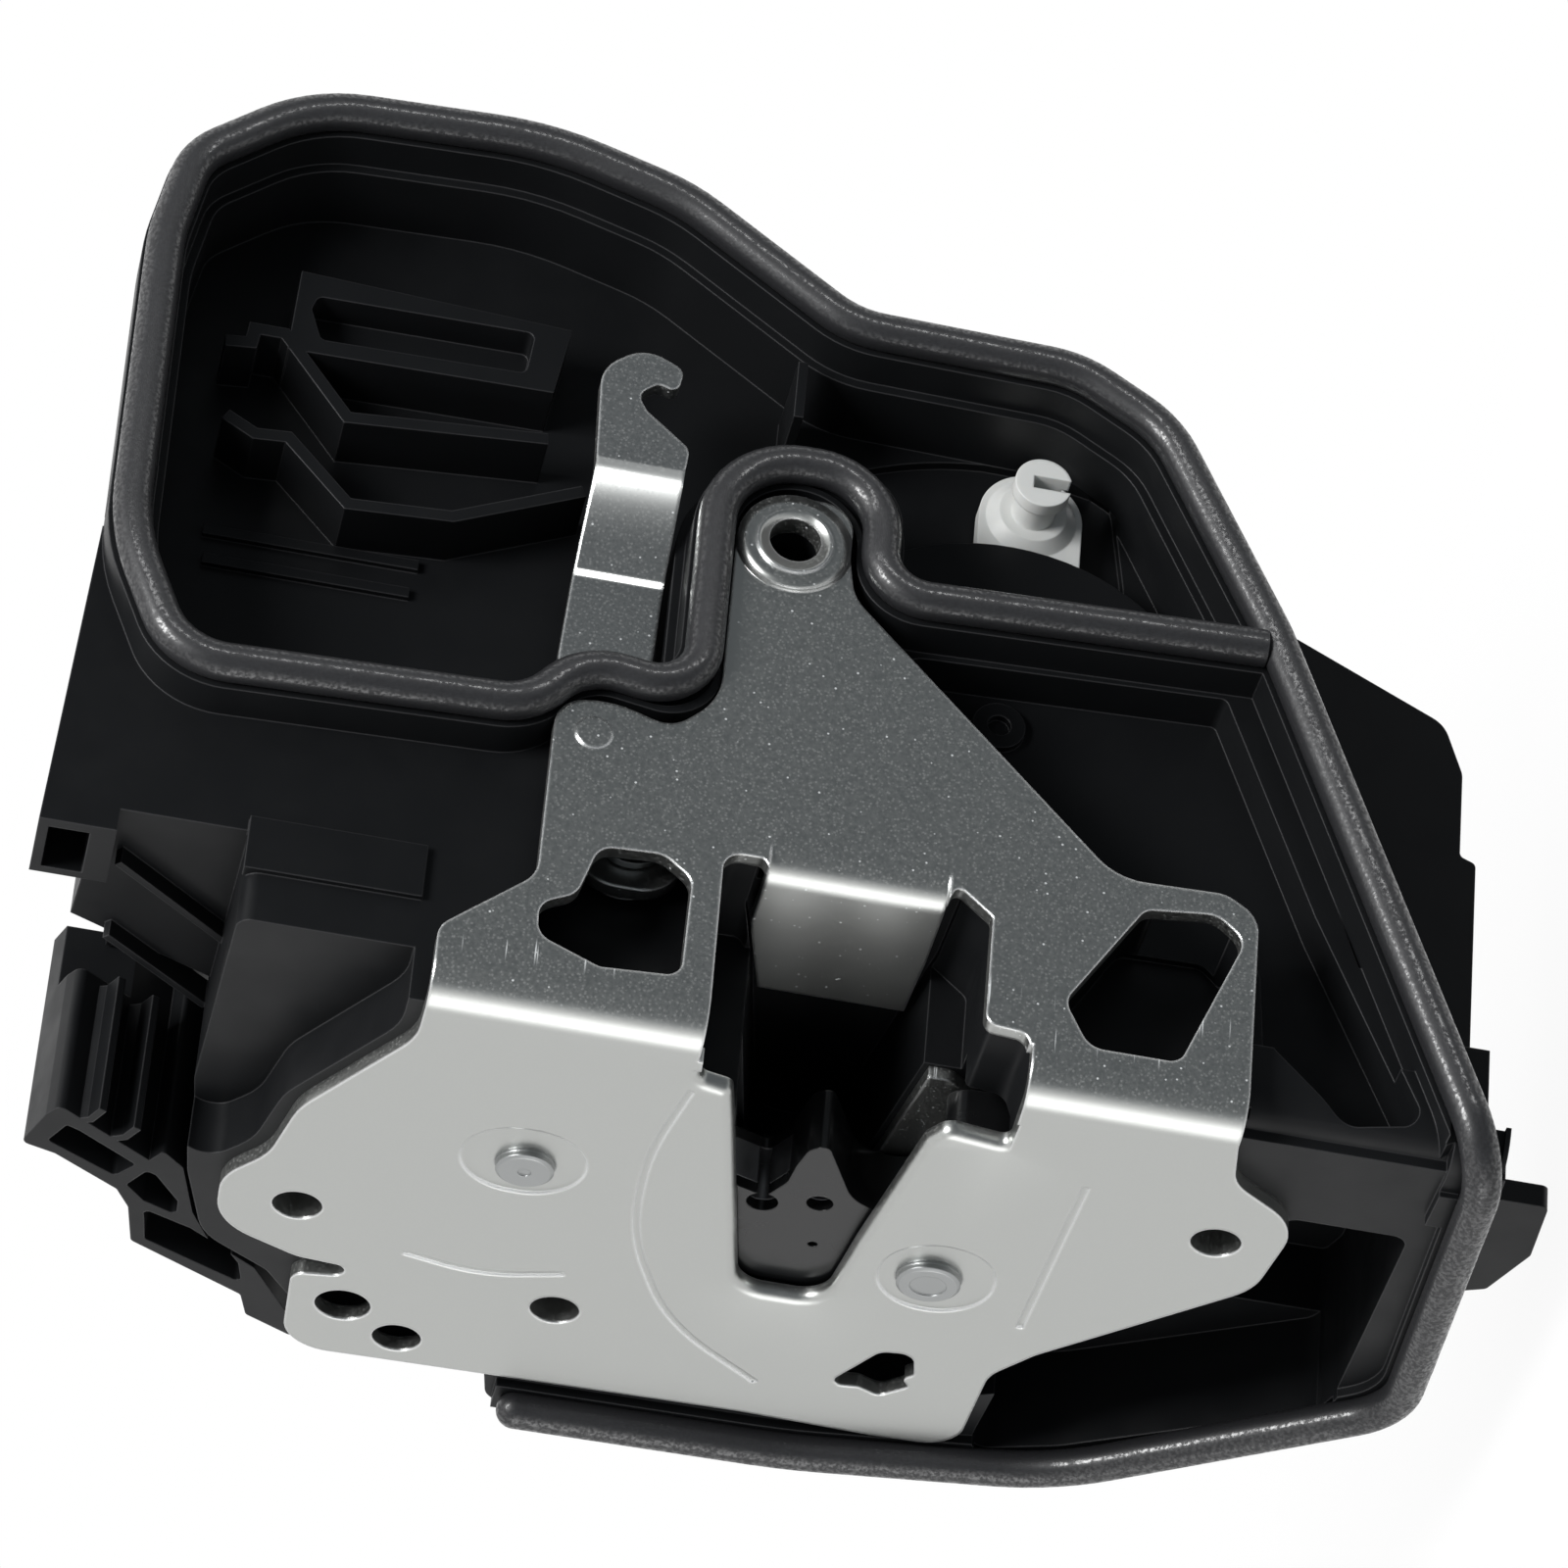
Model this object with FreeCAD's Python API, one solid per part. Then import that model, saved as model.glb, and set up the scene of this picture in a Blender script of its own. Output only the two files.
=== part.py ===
"""Door latch with lock actuator for a left front door.

Row frame, in millimetres, as fitted in the door: +Z is up, +X runs forward into the door from the shut
face, and +Y runs towards the outside of the car. Every piece is drawn with the lock plate's inner-face leg
at Y = 0 and its shut-face leg at X = 0, and is moved at the end so that the origin is the mouth of the upper
screw hole.
"""
import FreeCAD
import Part
import math
import os

V = FreeCAD.Vector

# Lock plate
plate_t = 2.0
plate_bend_r = 5.0
screw_hole_r = 3.0
screw_collar_r = 4.6
screw_collar_len = 3.0
tab_hole_r = 3.1
tab_r = 6.9
tab_x = 70.2
tab_z = 13.3

# Places of the screw holes in the shut face (Y, Z)
upper_screw = (51.0, 58.0)
lower_screw = (26.1, -47.3)
outer_screw = (65.2, 24.8)

# Striker slot and its tongue
slot_top_x = 24.0
tongue_r = 6.0
tongue_len = 25.0
tongue_z0 = -8.6
tongue_z1 = 12.6

# Pivots of catch and pawl in the shut face (Y, Z)
catch_y = 44.6
catch_z = -16.8
pawl_y = 34.2
pawl_z = 33.4
spring_room = 4.6
coil_wire_r = 0.45
coil_turns = 2.4
catch_pin_r = 5.0
catch_pin_neck_r = 3.9
pawl_pin_r = 4.5
pawl_pin_neck_r = 3.5
pin_head = 0.9
shaft_gap = 0.05

# Stack of the lock body along X
side_gap = 0.6
catch_t = 8.0
core_t = 5.0
backplate_t = 1.6

# Catch, as a fork round its pivot: radii, and angles from -Z towards -Y in the open pose
catch_outer_r = 28.5
catch_arm_r = 27.0
catch_root_r = 23.0
catch_hub_r = 13.0
mouth_deg = 114.0
mouth_w = 12.5
mouth_root_r = 10.6
cover_wall = 1.5
catch_holes = [(37.6, 4.8, 1.9), (35.9, -1.8, 1.6), (45.1, -2.7, 0.6)]

# Pawl: tip corner and arm
tip_y = 64.5
tip_z = 2.9
pawl_arm_w = 7.0
pawl_clear = 0.8
pawl_tip_play = 0.6
pawl_hub_r = 9.0

# Housing
wall_t = 2.2
rim_half_w = 2.6
rim_inset = 1.6
back_y = 28.0
block_back_x = 28.0
pocket_floor_y = 16.0
deck_y = 6.0
side_floor_y = 12.0
lever_floor_y = 17.4
funnel_x = 9.0
fit_gap = 0.3

# Seal
seal_d = 4.6
seal_seat = 0.8
groove_w = 3.6
seal_bend_r = 8.0
seal_lift = 0.8

# Hook lever of the inside cable
hook_pivot_x = 30.0
hook_pivot_z = 28.0
hook_t = 2.0
hook_low_y = 7.4
hook_high_y = 1.6
hook_pin_r = 3.0

# Lock lever and its drive
lever_pivot_x = 57.2
lever_pivot_z = -14.7
lever_t = 2.6
lever_top_y = 14.0
lever_hub_r = 6.0
lever_pin_r = 2.5
gear_module = 1.0
sector_teeth = 42
pinion_teeth = 14
gear_thin = 0.34
pinion_dir_deg = 60.0
wheel_module = 1.25
wheel_teeth = 24
worm_pitch_r = 4.0
drive_y = 32.0
wheel_w = 5.0
wheel_pin_r = 1.5
motor_r = 9.5
motor_len = 22.0

# Actuator case
case_back_y = 46.0
case_wall = 2.0
case_screw_r = 1.5
case_screw_head_r = 3.4
case_screw_places = [(109.0, 78.5), (64.0, 81.0), (91.0, -27.0), (40.0, -49.5), (112.0, 40.0)]

# Key coupler, outer lever and plug-in place on the case
key_x = 95.0
key_z = -8.0
key_r = 6.0
outer_x = 44.0
outer_z = 60.0
duct_back_x = outer_x - 13.5
socket_x0 = 98.0
socket_x1 = 112.0
socket_z0 = 48.0
socket_z1 = 74.0
pin_places = [(102.5 + 5.0 * i, 52.0 + 4.5 * j) for i in range(2) for j in range(5)]

# Pressed marks of the lock plate
mark_depth = 0.3
bead_depth = 0.25
slot_edge_r = 1.2
pad_lift = 0.5
ring_lift = 0.9

# Levels and places that follow from the sizes above
seal_r = seal_d / 2
seal_line = -seal_lift
rim_level = seal_line + seal_r - seal_seat
catch_x0 = plate_t + side_gap
catch_x1 = catch_x0 + catch_t
core_x0 = catch_x0 + (catch_t - core_t) / 2
core_x1 = core_x0 + core_t
backplate_x0 = catch_x1 + side_gap
backplate_x1 = backplate_x0 + backplate_t
bend_z1 = 49.7
bend_z0 = -45.0
gear_reach = gear_module * (sector_teeth + pinion_teeth) / 2
wheel_x = lever_pivot_x + gear_reach * math.cos(math.radians(pinion_dir_deg))
wheel_z = lever_pivot_z + gear_reach * math.sin(math.radians(pinion_dir_deg))
worm_z = wheel_z + wheel_module * wheel_teeth / 2 + worm_pitch_r
worm_pitch = math.pi * wheel_module
worm_x0 = wheel_x - 2.5 * worm_pitch
worm_x1 = wheel_x + 2.5 * worm_pitch
motor_x0 = worm_x1 + 4.0
sector_y0 = drive_y + wheel_w / 2 + 2.0

# Seal line on the inner face (X, Z, rounding): outer run, then the inner run round the tab to the branch
outer_run = [(68.5, -45.0, 40), (96.2, -30.5, 14), (102.8, -19.2, 14), (103.4, 8.7, 12), (118.3, 30.5, 25),
             (123.5, 47.9, 40), (122.3, 76.8, 20), (111.6, 89.9, 9), (99.1, 92.0, 25), (55.4, 91.2, 30),
             (38.7, 83.5, 9)]
inner_run = [(40.3, 42.5, 8), (47.6, 36.5, 8), (45.4, 22.8, 7), (81.4, 22.8, 9.9), (81.4, 3.0, 9.9),
             (64.5, 3.0, 6), (66.4, -44.0, 0)]
seal_corner_z = -73.4
rim_bend_r = seal_bend_r - (rim_level - seal_line)
run_slope = (outer_run[0][1] - seal_corner_z) / (outer_run[0][0] - seal_line)
low_start = (4.5, seal_corner_z + (4.5 - seal_line) * run_slope, 0)

# Seal line on the shut face (Y, Z, rounding), from its free end to the lower corner
seal_tail = [(88.8, 25.8, 0), (88.2, -7.7, 60), (82.9, -40.2, 30), (55.1, -76.6, 10)]

# Outlines of the lock plate: inner-face leg (X, Z) and shut-face leg (Y, Z)
plate_inner = [(-1.0, bend_z0), (28.5, bend_z0, 4), (31.0, -41.0, 4), (30.6, -28.0, 8), (64.0, 5.6, 6),
               (tab_x - 1.0, tab_z - tab_r, 4), (tab_x + tab_r, tab_z - tab_r, tab_r),
               (tab_x + tab_r, tab_z + tab_r, tab_r), (46.0, 20.2, 8), (41.0, 25.5, 4), (43.4, 33.0, 12),
               (42.2, 39.2, 4), (17.6, 39.2, 4), (8.6, bend_z1, 3), (-1.0, bend_z1)]
plate_shut = [(-1.0, bend_z1), (11.0, bend_z1, 10), (30.0, 60.8, 12), (41.0, 62.8, 10), (47.5, 67.6, 8),
              (57.5, 67.0, 9), (62.5, 56.5, 6), (63.0, 50.5, 2), (65.4, 50.5, 2), (66.5, 56.6, 2),
              (83.5, 55.6, 7), (83.1, 44.0, 10), (81.8, -1.0, 30), (82.4, -17.0, 10), (82.0, -27.8, 5),
              (64.0, -28.2, 6), (57.6, -32.6, 6), (35.0, -54.0, 9), (20.0, -55.6, 8), (13.0, -46.4, 6),
              (5.0, bend_z0, 8), (-1.0, bend_z0)]
slot_inner = [(-1, -19.4), (5.2, -19.4), (7.4, -18.6, 1.5), (7.8, -13.8, 1.5), (22.4, -13.8, 1),
              (26.0, -9.4, 0.8), (slot_top_x, tongue_z0), (slot_top_x, tongue_z1), (25.2, 13.4, 1),
              (25.2, 18.0, 2.4), (6, 17.9), (-1, 17.9)]
slot_shut = [(-1, 17.9), (10.4, 17.0, 1.5), (11.4, 13.0, 1.5), (18.0, 11.6, 6), (54.0, 4.6, 4),
             (54.0, -5.8, 4), (40.0, -7.2, 8), (15.4, -10.4, 2), (12.2, -12.4, 2), (13.4, -19.9, 1.2),
             (-1, -19.4)]
window_upper = [(23.4, 25.0, 3), (23.0, 32.4, 2.5), (16.0, 34.4, 3), (14.0, 38.6, 2.5), (9.6, 38.4, 2.5),
                (6.6, 31.0, 2), (7.2, 21.6, 2), (20.6, 21.4, 2.5)]
window_lower = [(27.0, -31.6, 2), (28.0, -40.0, 3), (25.0, -43.6, 2.5), (6.8, -36.6, 2), (6.8, -26.0, 3),
                (12.6, -22.8, 2.5)]

keyhole = [(70.6, -10.4, 1.5), (62.6, -14.6, 2), (62.0, -18.6, 2), (67.0, -19.6, 1), (68.2, -18.4, 0.8),
           (69.8, -19.6, 0.8), (73.0, -16.4, 1.5), (71.6, -13.6, 1), (72.0, -11.0, 1)]
pawl_mark = [(26.2, 26.3, 7), (40.2, 26.3, 7), (40.2, 41.2, 7), (26.2, 41.2, 7)]
catch_mark = [(36.7, -24.6, 6.9), (51.5, -24.6, 6.9), (51.5, -10.7, 6.9), (36.7, -10.7, 6.9)]
swing_bead = [(12.5, 17.6), (27.5, 20.0, 60), (45.4, 18.9, 50), (64.0, 11.3, 40), (74.3, -1.4)]
side_bead = [(57.7, 44.2), (59.9, 34.7, 20), (56.7, 25.1)]
low_bead = [(18.9, -30.2), (52.0, -29.4)]


def map_point(axis, a, b, c):
    """A point of an outline: (a, b) in the plane across the axis, c along it."""
    if axis == "x":
        return V(c, a, b)
    if axis == "y":
        return V(a, c, b)
    return V(a, b, c)


def corner_arc(before, at, after, radius):
    """Start, middle and end of the arc that rounds one corner, or the corner itself three times."""
    to_before = before.sub(at)
    to_after = after.sub(at)
    room = 0.499 * min(to_before.Length, to_after.Length)
    to_before.normalize()
    to_after.normalize()
    angle = to_before.getAngle(to_after)
    if radius <= 0 or angle > math.pi - 1e-4:
        return at, at, at
    run = min(radius / math.tan(angle / 2), room)
    radius = run * math.tan(angle / 2)
    middle_dir = to_before.add(to_after)
    middle_dir.normalize()
    to_centre = math.hypot(run, radius)
    middle = at.add(V(middle_dir).multiply(to_centre - radius))
    return at.add(to_before.multiply(run)), middle, at.add(to_after.multiply(run))


def rounded_path(points, radii, closed):
    """Wire through points with tangent arcs at its corners."""
    count = len(points)
    arcs = []
    for i in range(count):
        if not closed and i in (0, count - 1):
            arcs.append((points[i], points[i], points[i]))
        else:
            arcs.append(corner_arc(points[i - 1], points[i], points[(i + 1) % count], radii[i]))
    edges = []
    for i in range(count):
        start, middle, end = arcs[i]
        if start.sub(end).Length > 1e-6:
            edges.append(Part.Arc(start, middle, end).toShape())
        if i == count - 1 and not closed:
            break
        following = arcs[(i + 1) % count][0]
        if end.sub(following).Length > 1e-6:
            edges.append(Part.LineSegment(end, following).toShape())
    return Part.Wire(edges)


def outline(axis, corners, level):
    """Closed wire across an axis. A corner is (a, b) or (a, b, rounding radius)."""
    points = [map_point(axis, c[0], c[1], level) for c in corners]
    radii = [c[2] if len(c) > 2 else 0 for c in corners]
    return rounded_path(points, radii, True)


def prism(axis, corners, low, high):
    """Solid with the given outline between two levels of an axis."""
    face = Part.Face(outline(axis, corners, low))
    return face.extrude(map_point(axis, 0, 0, high - low))


def shift_corner(a, b, c, distance):
    """Corner b of the line a, b, c moved to the right by a distance, with roundings kept concentric."""
    first = math.hypot(b[0] - a[0], b[1] - a[1])
    second = math.hypot(c[0] - b[0], c[1] - b[1])
    n1 = ((b[1] - a[1]) / first, (a[0] - b[0]) / first)
    n2 = ((c[1] - b[1]) / second, (b[0] - c[0]) / second)
    scale = distance / (1 + n1[0] * n2[0] + n1[1] * n2[1])
    turn = (b[0] - a[0]) * (c[1] - b[1]) - (b[1] - a[1]) * (c[0] - b[0])
    radius = b[2] if len(b) > 2 else 0
    if radius > 0:
        radius = max(radius + (distance if turn > 0 else -distance), 0.5)
    return (b[0] + scale * (n1[0] + n2[0]), b[1] + scale * (n1[1] + n2[1]), radius)


def grow(corners, distance):
    """Outline moved outwards by a distance."""
    count = len(corners)
    area = sum(corners[i - 1][0] * corners[i][1] - corners[i][0] * corners[i - 1][1] for i in range(count))
    side = distance if area > 0 else -distance
    return [shift_corner(corners[i - 1], corners[i], corners[(i + 1) % count], side) for i in range(count)]


def ribbon(corners, half_width):
    """Outline of a wall of even thickness along an open line."""
    sides = []
    for side in (half_width, -half_width):
        line = []
        for i in range(len(corners)):
            here = corners[i]
            if i == 0:
                ahead = corners[1]
                before = (2 * here[0] - ahead[0], 2 * here[1] - ahead[1])
                point = shift_corner(before, (here[0], here[1]), ahead, side)
            elif i == len(corners) - 1:
                back = corners[i - 1]
                beyond = (2 * here[0] - back[0], 2 * here[1] - back[1])
                point = shift_corner(back, (here[0], here[1]), beyond, side)
            else:
                point = shift_corner(corners[i - 1], here, corners[i + 1], side)
            line.append(point)
        sides.append(line)
    return sides[0] + sides[1][::-1]


def wall(axis, corners, thickness, low, high):
    """Wall along an open line, between two levels of an axis."""
    return prism(axis, ribbon(corners, thickness / 2), low, high)


def rod(axis, a, b, radius, low, high):
    """Round bar along an axis."""
    start = map_point(axis, a, b, low)
    return Part.makeCylinder(radius, high - low, start, map_point(axis, 0, 0, 1))


def tube(axis, a, b, outer, inner, low, high):
    """Round bar along an axis with a round hole through it."""
    return rod(axis, a, b, outer, low, high).cut(rod(axis, a, b, inner, low - 1, high + 1))


def box(x0, x1, y0, y1, z0, z1):
    """Block between two corners."""
    return Part.makeBox(x1 - x0, y1 - y0, z1 - z0, V(x0, y0, z0))


def join(shapes):
    """Union of several solids as one cleaned solid."""
    result = shapes[0]
    if len(shapes) > 1:
        result = result.multiFuse(shapes[1:])
    return result.removeSplitter()


def spot(radius, degrees):
    """(Y, Z) at a radius from the catch's pivot, at an angle from -Z towards -Y."""
    angle = math.radians(degrees)
    return catch_y - radius * math.sin(angle), catch_z - radius * math.cos(angle)


def arc_points(radius, first, last, count):
    """Points on a circle round the catch's pivot."""
    return [spot(radius, first + (last - first) * i / (count - 1)) for i in range(count)]


def make_lock_plate():
    """Bent steel plate: both legs, bend, windows, slot, tongue, screw holes and collars."""
    reach = 95
    profile = [(0, 0, plate_bend_r), (reach, 0), (reach, plate_t), (plate_t, plate_t, plate_bend_r - plate_t),
               (plate_t, reach), (0, reach)]
    sheet = prism("z", profile, -60, 72)
    inner_leg = prism("y", plate_inner, -1, plate_t)
    shut_leg = prism("x", plate_shut, -1, plate_t)
    corner = box(-1, plate_bend_r, -1, plate_bend_r, bend_z0, bend_z1)
    plate = sheet.common(inner_leg.multiFuse([shut_leg, corner]))
    cuts = [prism("y", slot_inner, -2, plate_bend_r + 1), prism("x", slot_shut, -2, plate_bend_r + 1),
            prism("y", window_upper, -1, plate_t + 1), prism("y", window_lower, -1, plate_t + 1),
            rod("y", tab_x, tab_z, tab_hole_r, -1, plate_t + 1),
            rod("x", 72.0, 49.6, 3.4, -1, plate_t + 1), rod("x", 77.6, 42.2, 3.0, -1, plate_t + 1),
            rod("x", catch_y, catch_z, catch_pin_neck_r, -1, plate_t + 1),
            rod("x", pawl_y, pawl_z, pawl_pin_neck_r, -1, plate_t + 1),
            prism("x", keyhole, -1, plate_t + 1)]
    plate = plate.cut(cuts)
    profile = [(slot_top_x + tongue_r + 2, 0), (slot_top_x + tongue_r + 2, plate_t),
               (slot_top_x + plate_t, plate_t, tongue_r - plate_t), (slot_top_x + plate_t, tongue_len),
               (slot_top_x, tongue_len), (slot_top_x, 0, tongue_r)]
    notch = box(slot_top_x - 1, slot_top_x + tongue_r + 1, -1, plate_t + 1, tongue_z0, tongue_z1)
    taper = [(-1, tongue_z0), (14.0, tongue_z0), (tongue_len, tongue_z0 + 0.4), (tongue_len, tongue_z1 - 3.2),
             (14.0, tongue_z1 - 0.4), (12.0, tongue_z1), (-1, tongue_z1)]
    tongue = prism("z", profile, tongue_z0, tongue_z1).common(prism("x", taper, 0, slot_top_x + tongue_r + 3))
    shapes = [plate.cut(notch), tongue]
    shapes.append(rod("y", tab_x, tab_z, tab_r - 0.1, -pad_lift, 0.5))
    shapes.append(rod("y", tab_x, tab_z, tab_hole_r + 1.5, -ring_lift, 0.5))
    shapes.append(rod("y", 38.4, 34.5, 2.15, -bead_depth, 0.5))
    for y, z in (upper_screw, lower_screw, outer_screw):
        shapes.append(rod("x", y, z, screw_collar_r, plate_t - 0.5, plate_t + screw_collar_len))
    bores = [rod("y", tab_x, tab_z, tab_hole_r, -2, plate_t + 1)]
    for y, z in (upper_screw, lower_screw, outer_screw):
        bores.append(rod("x", y, z, screw_hole_r, -1, plate_t + screw_collar_len + 1))
    marks = [prism("x", pawl_mark, -1, mark_depth), prism("x", catch_mark, -1, mark_depth)]
    for bead in (swing_bead, side_bead, low_bead):
        marks.append(wall("x", bead, 0.8, -1, bead_depth))
    steps = []
    for k in range(3):
        rings = []
        for degrees in (30 * k, 30 * k + 30):
            a = math.radians(degrees)
            rings.append(outline("x", grow(slot_shut, slot_edge_r * (1.001 - math.sin(a))),
                                 slot_edge_r * (1 - math.cos(a)) - (0.001 if degrees == 0 else 0)))
        steps.append(Part.makeLoft(rings, True, True).common(box(-1, 3, 8.0, 60, -20, 20)))
    return join(shapes).cut(bores + marks).cut(steps).removeSplitter()


def make_seal():
    """Rubber tube round the rim: one run over both faces, and a branch whose end meets its own side."""
    points = [V(seal_line, y, z) for y, z, r in seal_tail]
    radii = [r for y, z, r in seal_tail]
    points.append(V(seal_line, seal_line, seal_corner_z))
    radii.append(seal_bend_r)
    for x, z, r in outer_run + inner_run:
        points.append(V(x, seal_line, z))
        radii.append(r)
    path = rounded_path(points, radii, False)
    start = points[0]
    ring = Part.Wire(Part.makeCircle(seal_r, start, points[1].sub(start)))
    return path.makePipeShell([ring], True, True).fuse(Part.makeSphere(seal_r, start)).removeSplitter()


def catch_outline():
    """Fork outline of the catch, open pose, as (Y, Z) corners."""
    along = math.radians(mouth_deg)
    toward = (-math.sin(along), -math.cos(along))
    across = (-math.cos(along), math.sin(along))
    half = mouth_w / 2

    def mouth(reach, side):
        """Point of the striker mouth at a reach from the pivot, on one side of its middle line."""
        return (catch_y + toward[0] * reach + across[0] * side,
                catch_z + toward[1] * reach + across[1] * side)

    hook_reach = math.sqrt(26.0 ** 2 - half ** 2)
    kick_reach = math.sqrt(catch_arm_r ** 2 - half ** 2)
    first = mouth(hook_reach, -half)
    probe = math.hypot(first[0] - spot(26.0, 92)[0], first[1] - spot(26.0, 92)[1])
    sign = 1 if probe < math.hypot(mouth(hook_reach, half)[0] - spot(26.0, 92)[0],
                                   mouth(hook_reach, half)[1] - spot(26.0, 92)[1]) else -1
    corners = [spot(catch_hub_r, 20) + (0,), spot(catch_hub_r, 38) + (4,), spot(26.0, 60) + (3,),
               spot(26.6, 72) + (20,), spot(26.4, 84) + (6,), mouth(hook_reach, -sign * half) + (2.5,),
               mouth(mouth_root_r, -sign * half) + (6,), mouth(mouth_root_r, sign * half) + (6,),
               mouth(kick_reach, sign * half) + (2,), spot(catch_arm_r, 133) + (2,), spot(25.0, 140) + (4,),
               spot(catch_root_r, 148) + (3,), spot(catch_root_r, 159) + (0.8,),
               spot(catch_outer_r, 159) + (1,), spot(catch_outer_r, 167) + (2,), spot(24.5, 170) + (2,),
               spot(24.5, 178) + (0.8,), spot(catch_outer_r, 179) + (1,), spot(catch_outer_r, 187) + (6,),
               spot(catch_outer_r - 0.4, 194) + (4,), spot(22.6, 205) + (6,), spot(15.0, 224) + (4,),
               spot(catch_hub_r, 245) + (4,), spot(catch_hub_r, 280) + (6,), spot(catch_hub_r, 320) + (6,)]
    return corners


def make_catch():
    """Steel fork, bare at the edges of its two teeth, and its plastic cover."""
    shape = catch_outline()
    teeth = prism("x", [spot(18, 145), spot(40, 150), spot(40, 200), spot(18, 205)], core_x0, core_x1)
    full = prism("x", shape, core_x0, core_x1)
    inner = prism("x", grow(shape, -cover_wall), core_x0, core_x1)
    bore = rod("x", catch_y, catch_z, catch_pin_r + shaft_gap, catch_x0 - 1, catch_x1 + 1)
    core = join([inner, full.common(teeth)]).cut(bore)
    cover = prism("x", shape, catch_x0, catch_x1)
    holes = [rod("x", y, z, r, catch_x0 - 1, core_x1) for y, z, r in catch_holes]
    cover = cover.cut([bore, core] + holes).removeSplitter()
    solids = sorted(cover.Solids, key=lambda s: -s.Volume)
    return core.cut(holes).removeSplitter(), solids[0]


def make_pawl():
    """Locking lever: a steel arm from its pivot to the tip that holds the catch, and its damping sleeve."""
    along = V(0, tip_y - pawl_y, tip_z - pawl_z)
    along.normalize()
    inward = V(0, catch_y - tip_y, catch_z - tip_z)
    inward = inward.sub(V(along).multiply(inward.dot(along)))
    inward.normalize()
    reach = math.hypot(tip_y - pawl_y, tip_z - pawl_z) - pawl_tip_play

    def place(forward, side):
        """(Y, Z) at a distance along the arm and sideways from its inner edge, away from the catch."""
        point = V(0, pawl_y, pawl_z).add(V(along).multiply(forward))
        point = point.add(V(inward).multiply(-side - pawl_clear))
        return (point.y, point.z)

    arm = [place(-2, 0), place(reach, 0) + (0.6,), place(reach, pawl_arm_w) + (3,),
           place(reach - 12, pawl_arm_w + 1) + (6,), place(0, 9.4)]
    nose = [place(reach - 9, -0.01), place(reach + 1, -0.01), place(reach + 1, 12), place(reach - 9, 12)]
    hub = rod("x", pawl_y, pawl_z, pawl_hub_r, core_x0, core_x1)
    lug_y, lug_z = place(19, 4.2)
    bore = rod("x", pawl_y, pawl_z, pawl_pin_r + shaft_gap, catch_x0 - 1, catch_x1 + 1)
    core = join([prism("x", arm, core_x0, core_x1), hub]).cut(bore)
    thick = join([prism("x", arm, catch_x0, catch_x1), rod("x", pawl_y, pawl_z, pawl_hub_r, catch_x0,
                                                           catch_x1)])
    slim = prism("x", [place(4, 1.2), place(reach - 8, 1.2), place(reach - 8, 5.8), place(4, 5.8)],
                 core_x0, core_x1)
    hub_core = rod("x", pawl_y, pawl_z, pawl_hub_r - cover_wall, core_x0, core_x1)
    nose_block = prism("x", nose, core_x0, core_x1)
    core = core.common(join([slim, hub_core, nose_block]))
    cover = thick.cut([core, bore, prism("x", nose, catch_x0 - 1, catch_x1 + 1)])
    lug = rod("x", lug_y, lug_z, 2.4, catch_x1 - 0.5, backplate_x1 + 4.6)
    cover = join([cover, lug])
    return core.removeSplitter(), cover, (lug_y, lug_z)


def make_pin(y, z, radius, neck, dimple):
    """Shouldered pivot pin, riveted over at both plates."""
    body = rod("x", y, z, radius, plate_t, backplate_x0)
    shank = rod("x", y, z, neck, 0, backplate_x1 + 0.2)
    head = rod("x", y, z, neck - 0.05, 0.3 - pin_head, 0)
    crown = Part.makeCone(neck - 0.45, neck - 0.05, 0.3, V(-pin_head, y, z), V(1, 0, 0))
    tail = rod("x", y, z, neck + 0.6, backplate_x1, backplate_x1 + spring_room)
    return join([body, shank, head, crown, tail]).cut(rod("x", y, z, dimple, -pin_head - 1, 0.15 - pin_head))


def make_coil(axis, a, b, mean_r, low):
    """Coil of a spring along an axis, without its legs."""
    wire_r = coil_wire_r
    pitch = wire_r * 2 + 0.25
    helix = Part.makeLongHelix(pitch, pitch * coil_turns, mean_r)
    ring = Part.Wire(Part.makeCircle(wire_r, V(mean_r, 0, 0), V(0, 1, 0)))
    coil = Part.Wire(helix.Edges).makePipeShell([ring], True, True)
    if axis == "x":
        coil.rotate(V(0, 0, 0), V(0, 1, 0), 90)
    else:
        coil.rotate(V(0, 0, 0), V(1, 0, 0), -90)
    coil.translate(map_point(axis, a, b, low + wire_r))
    return coil


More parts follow.
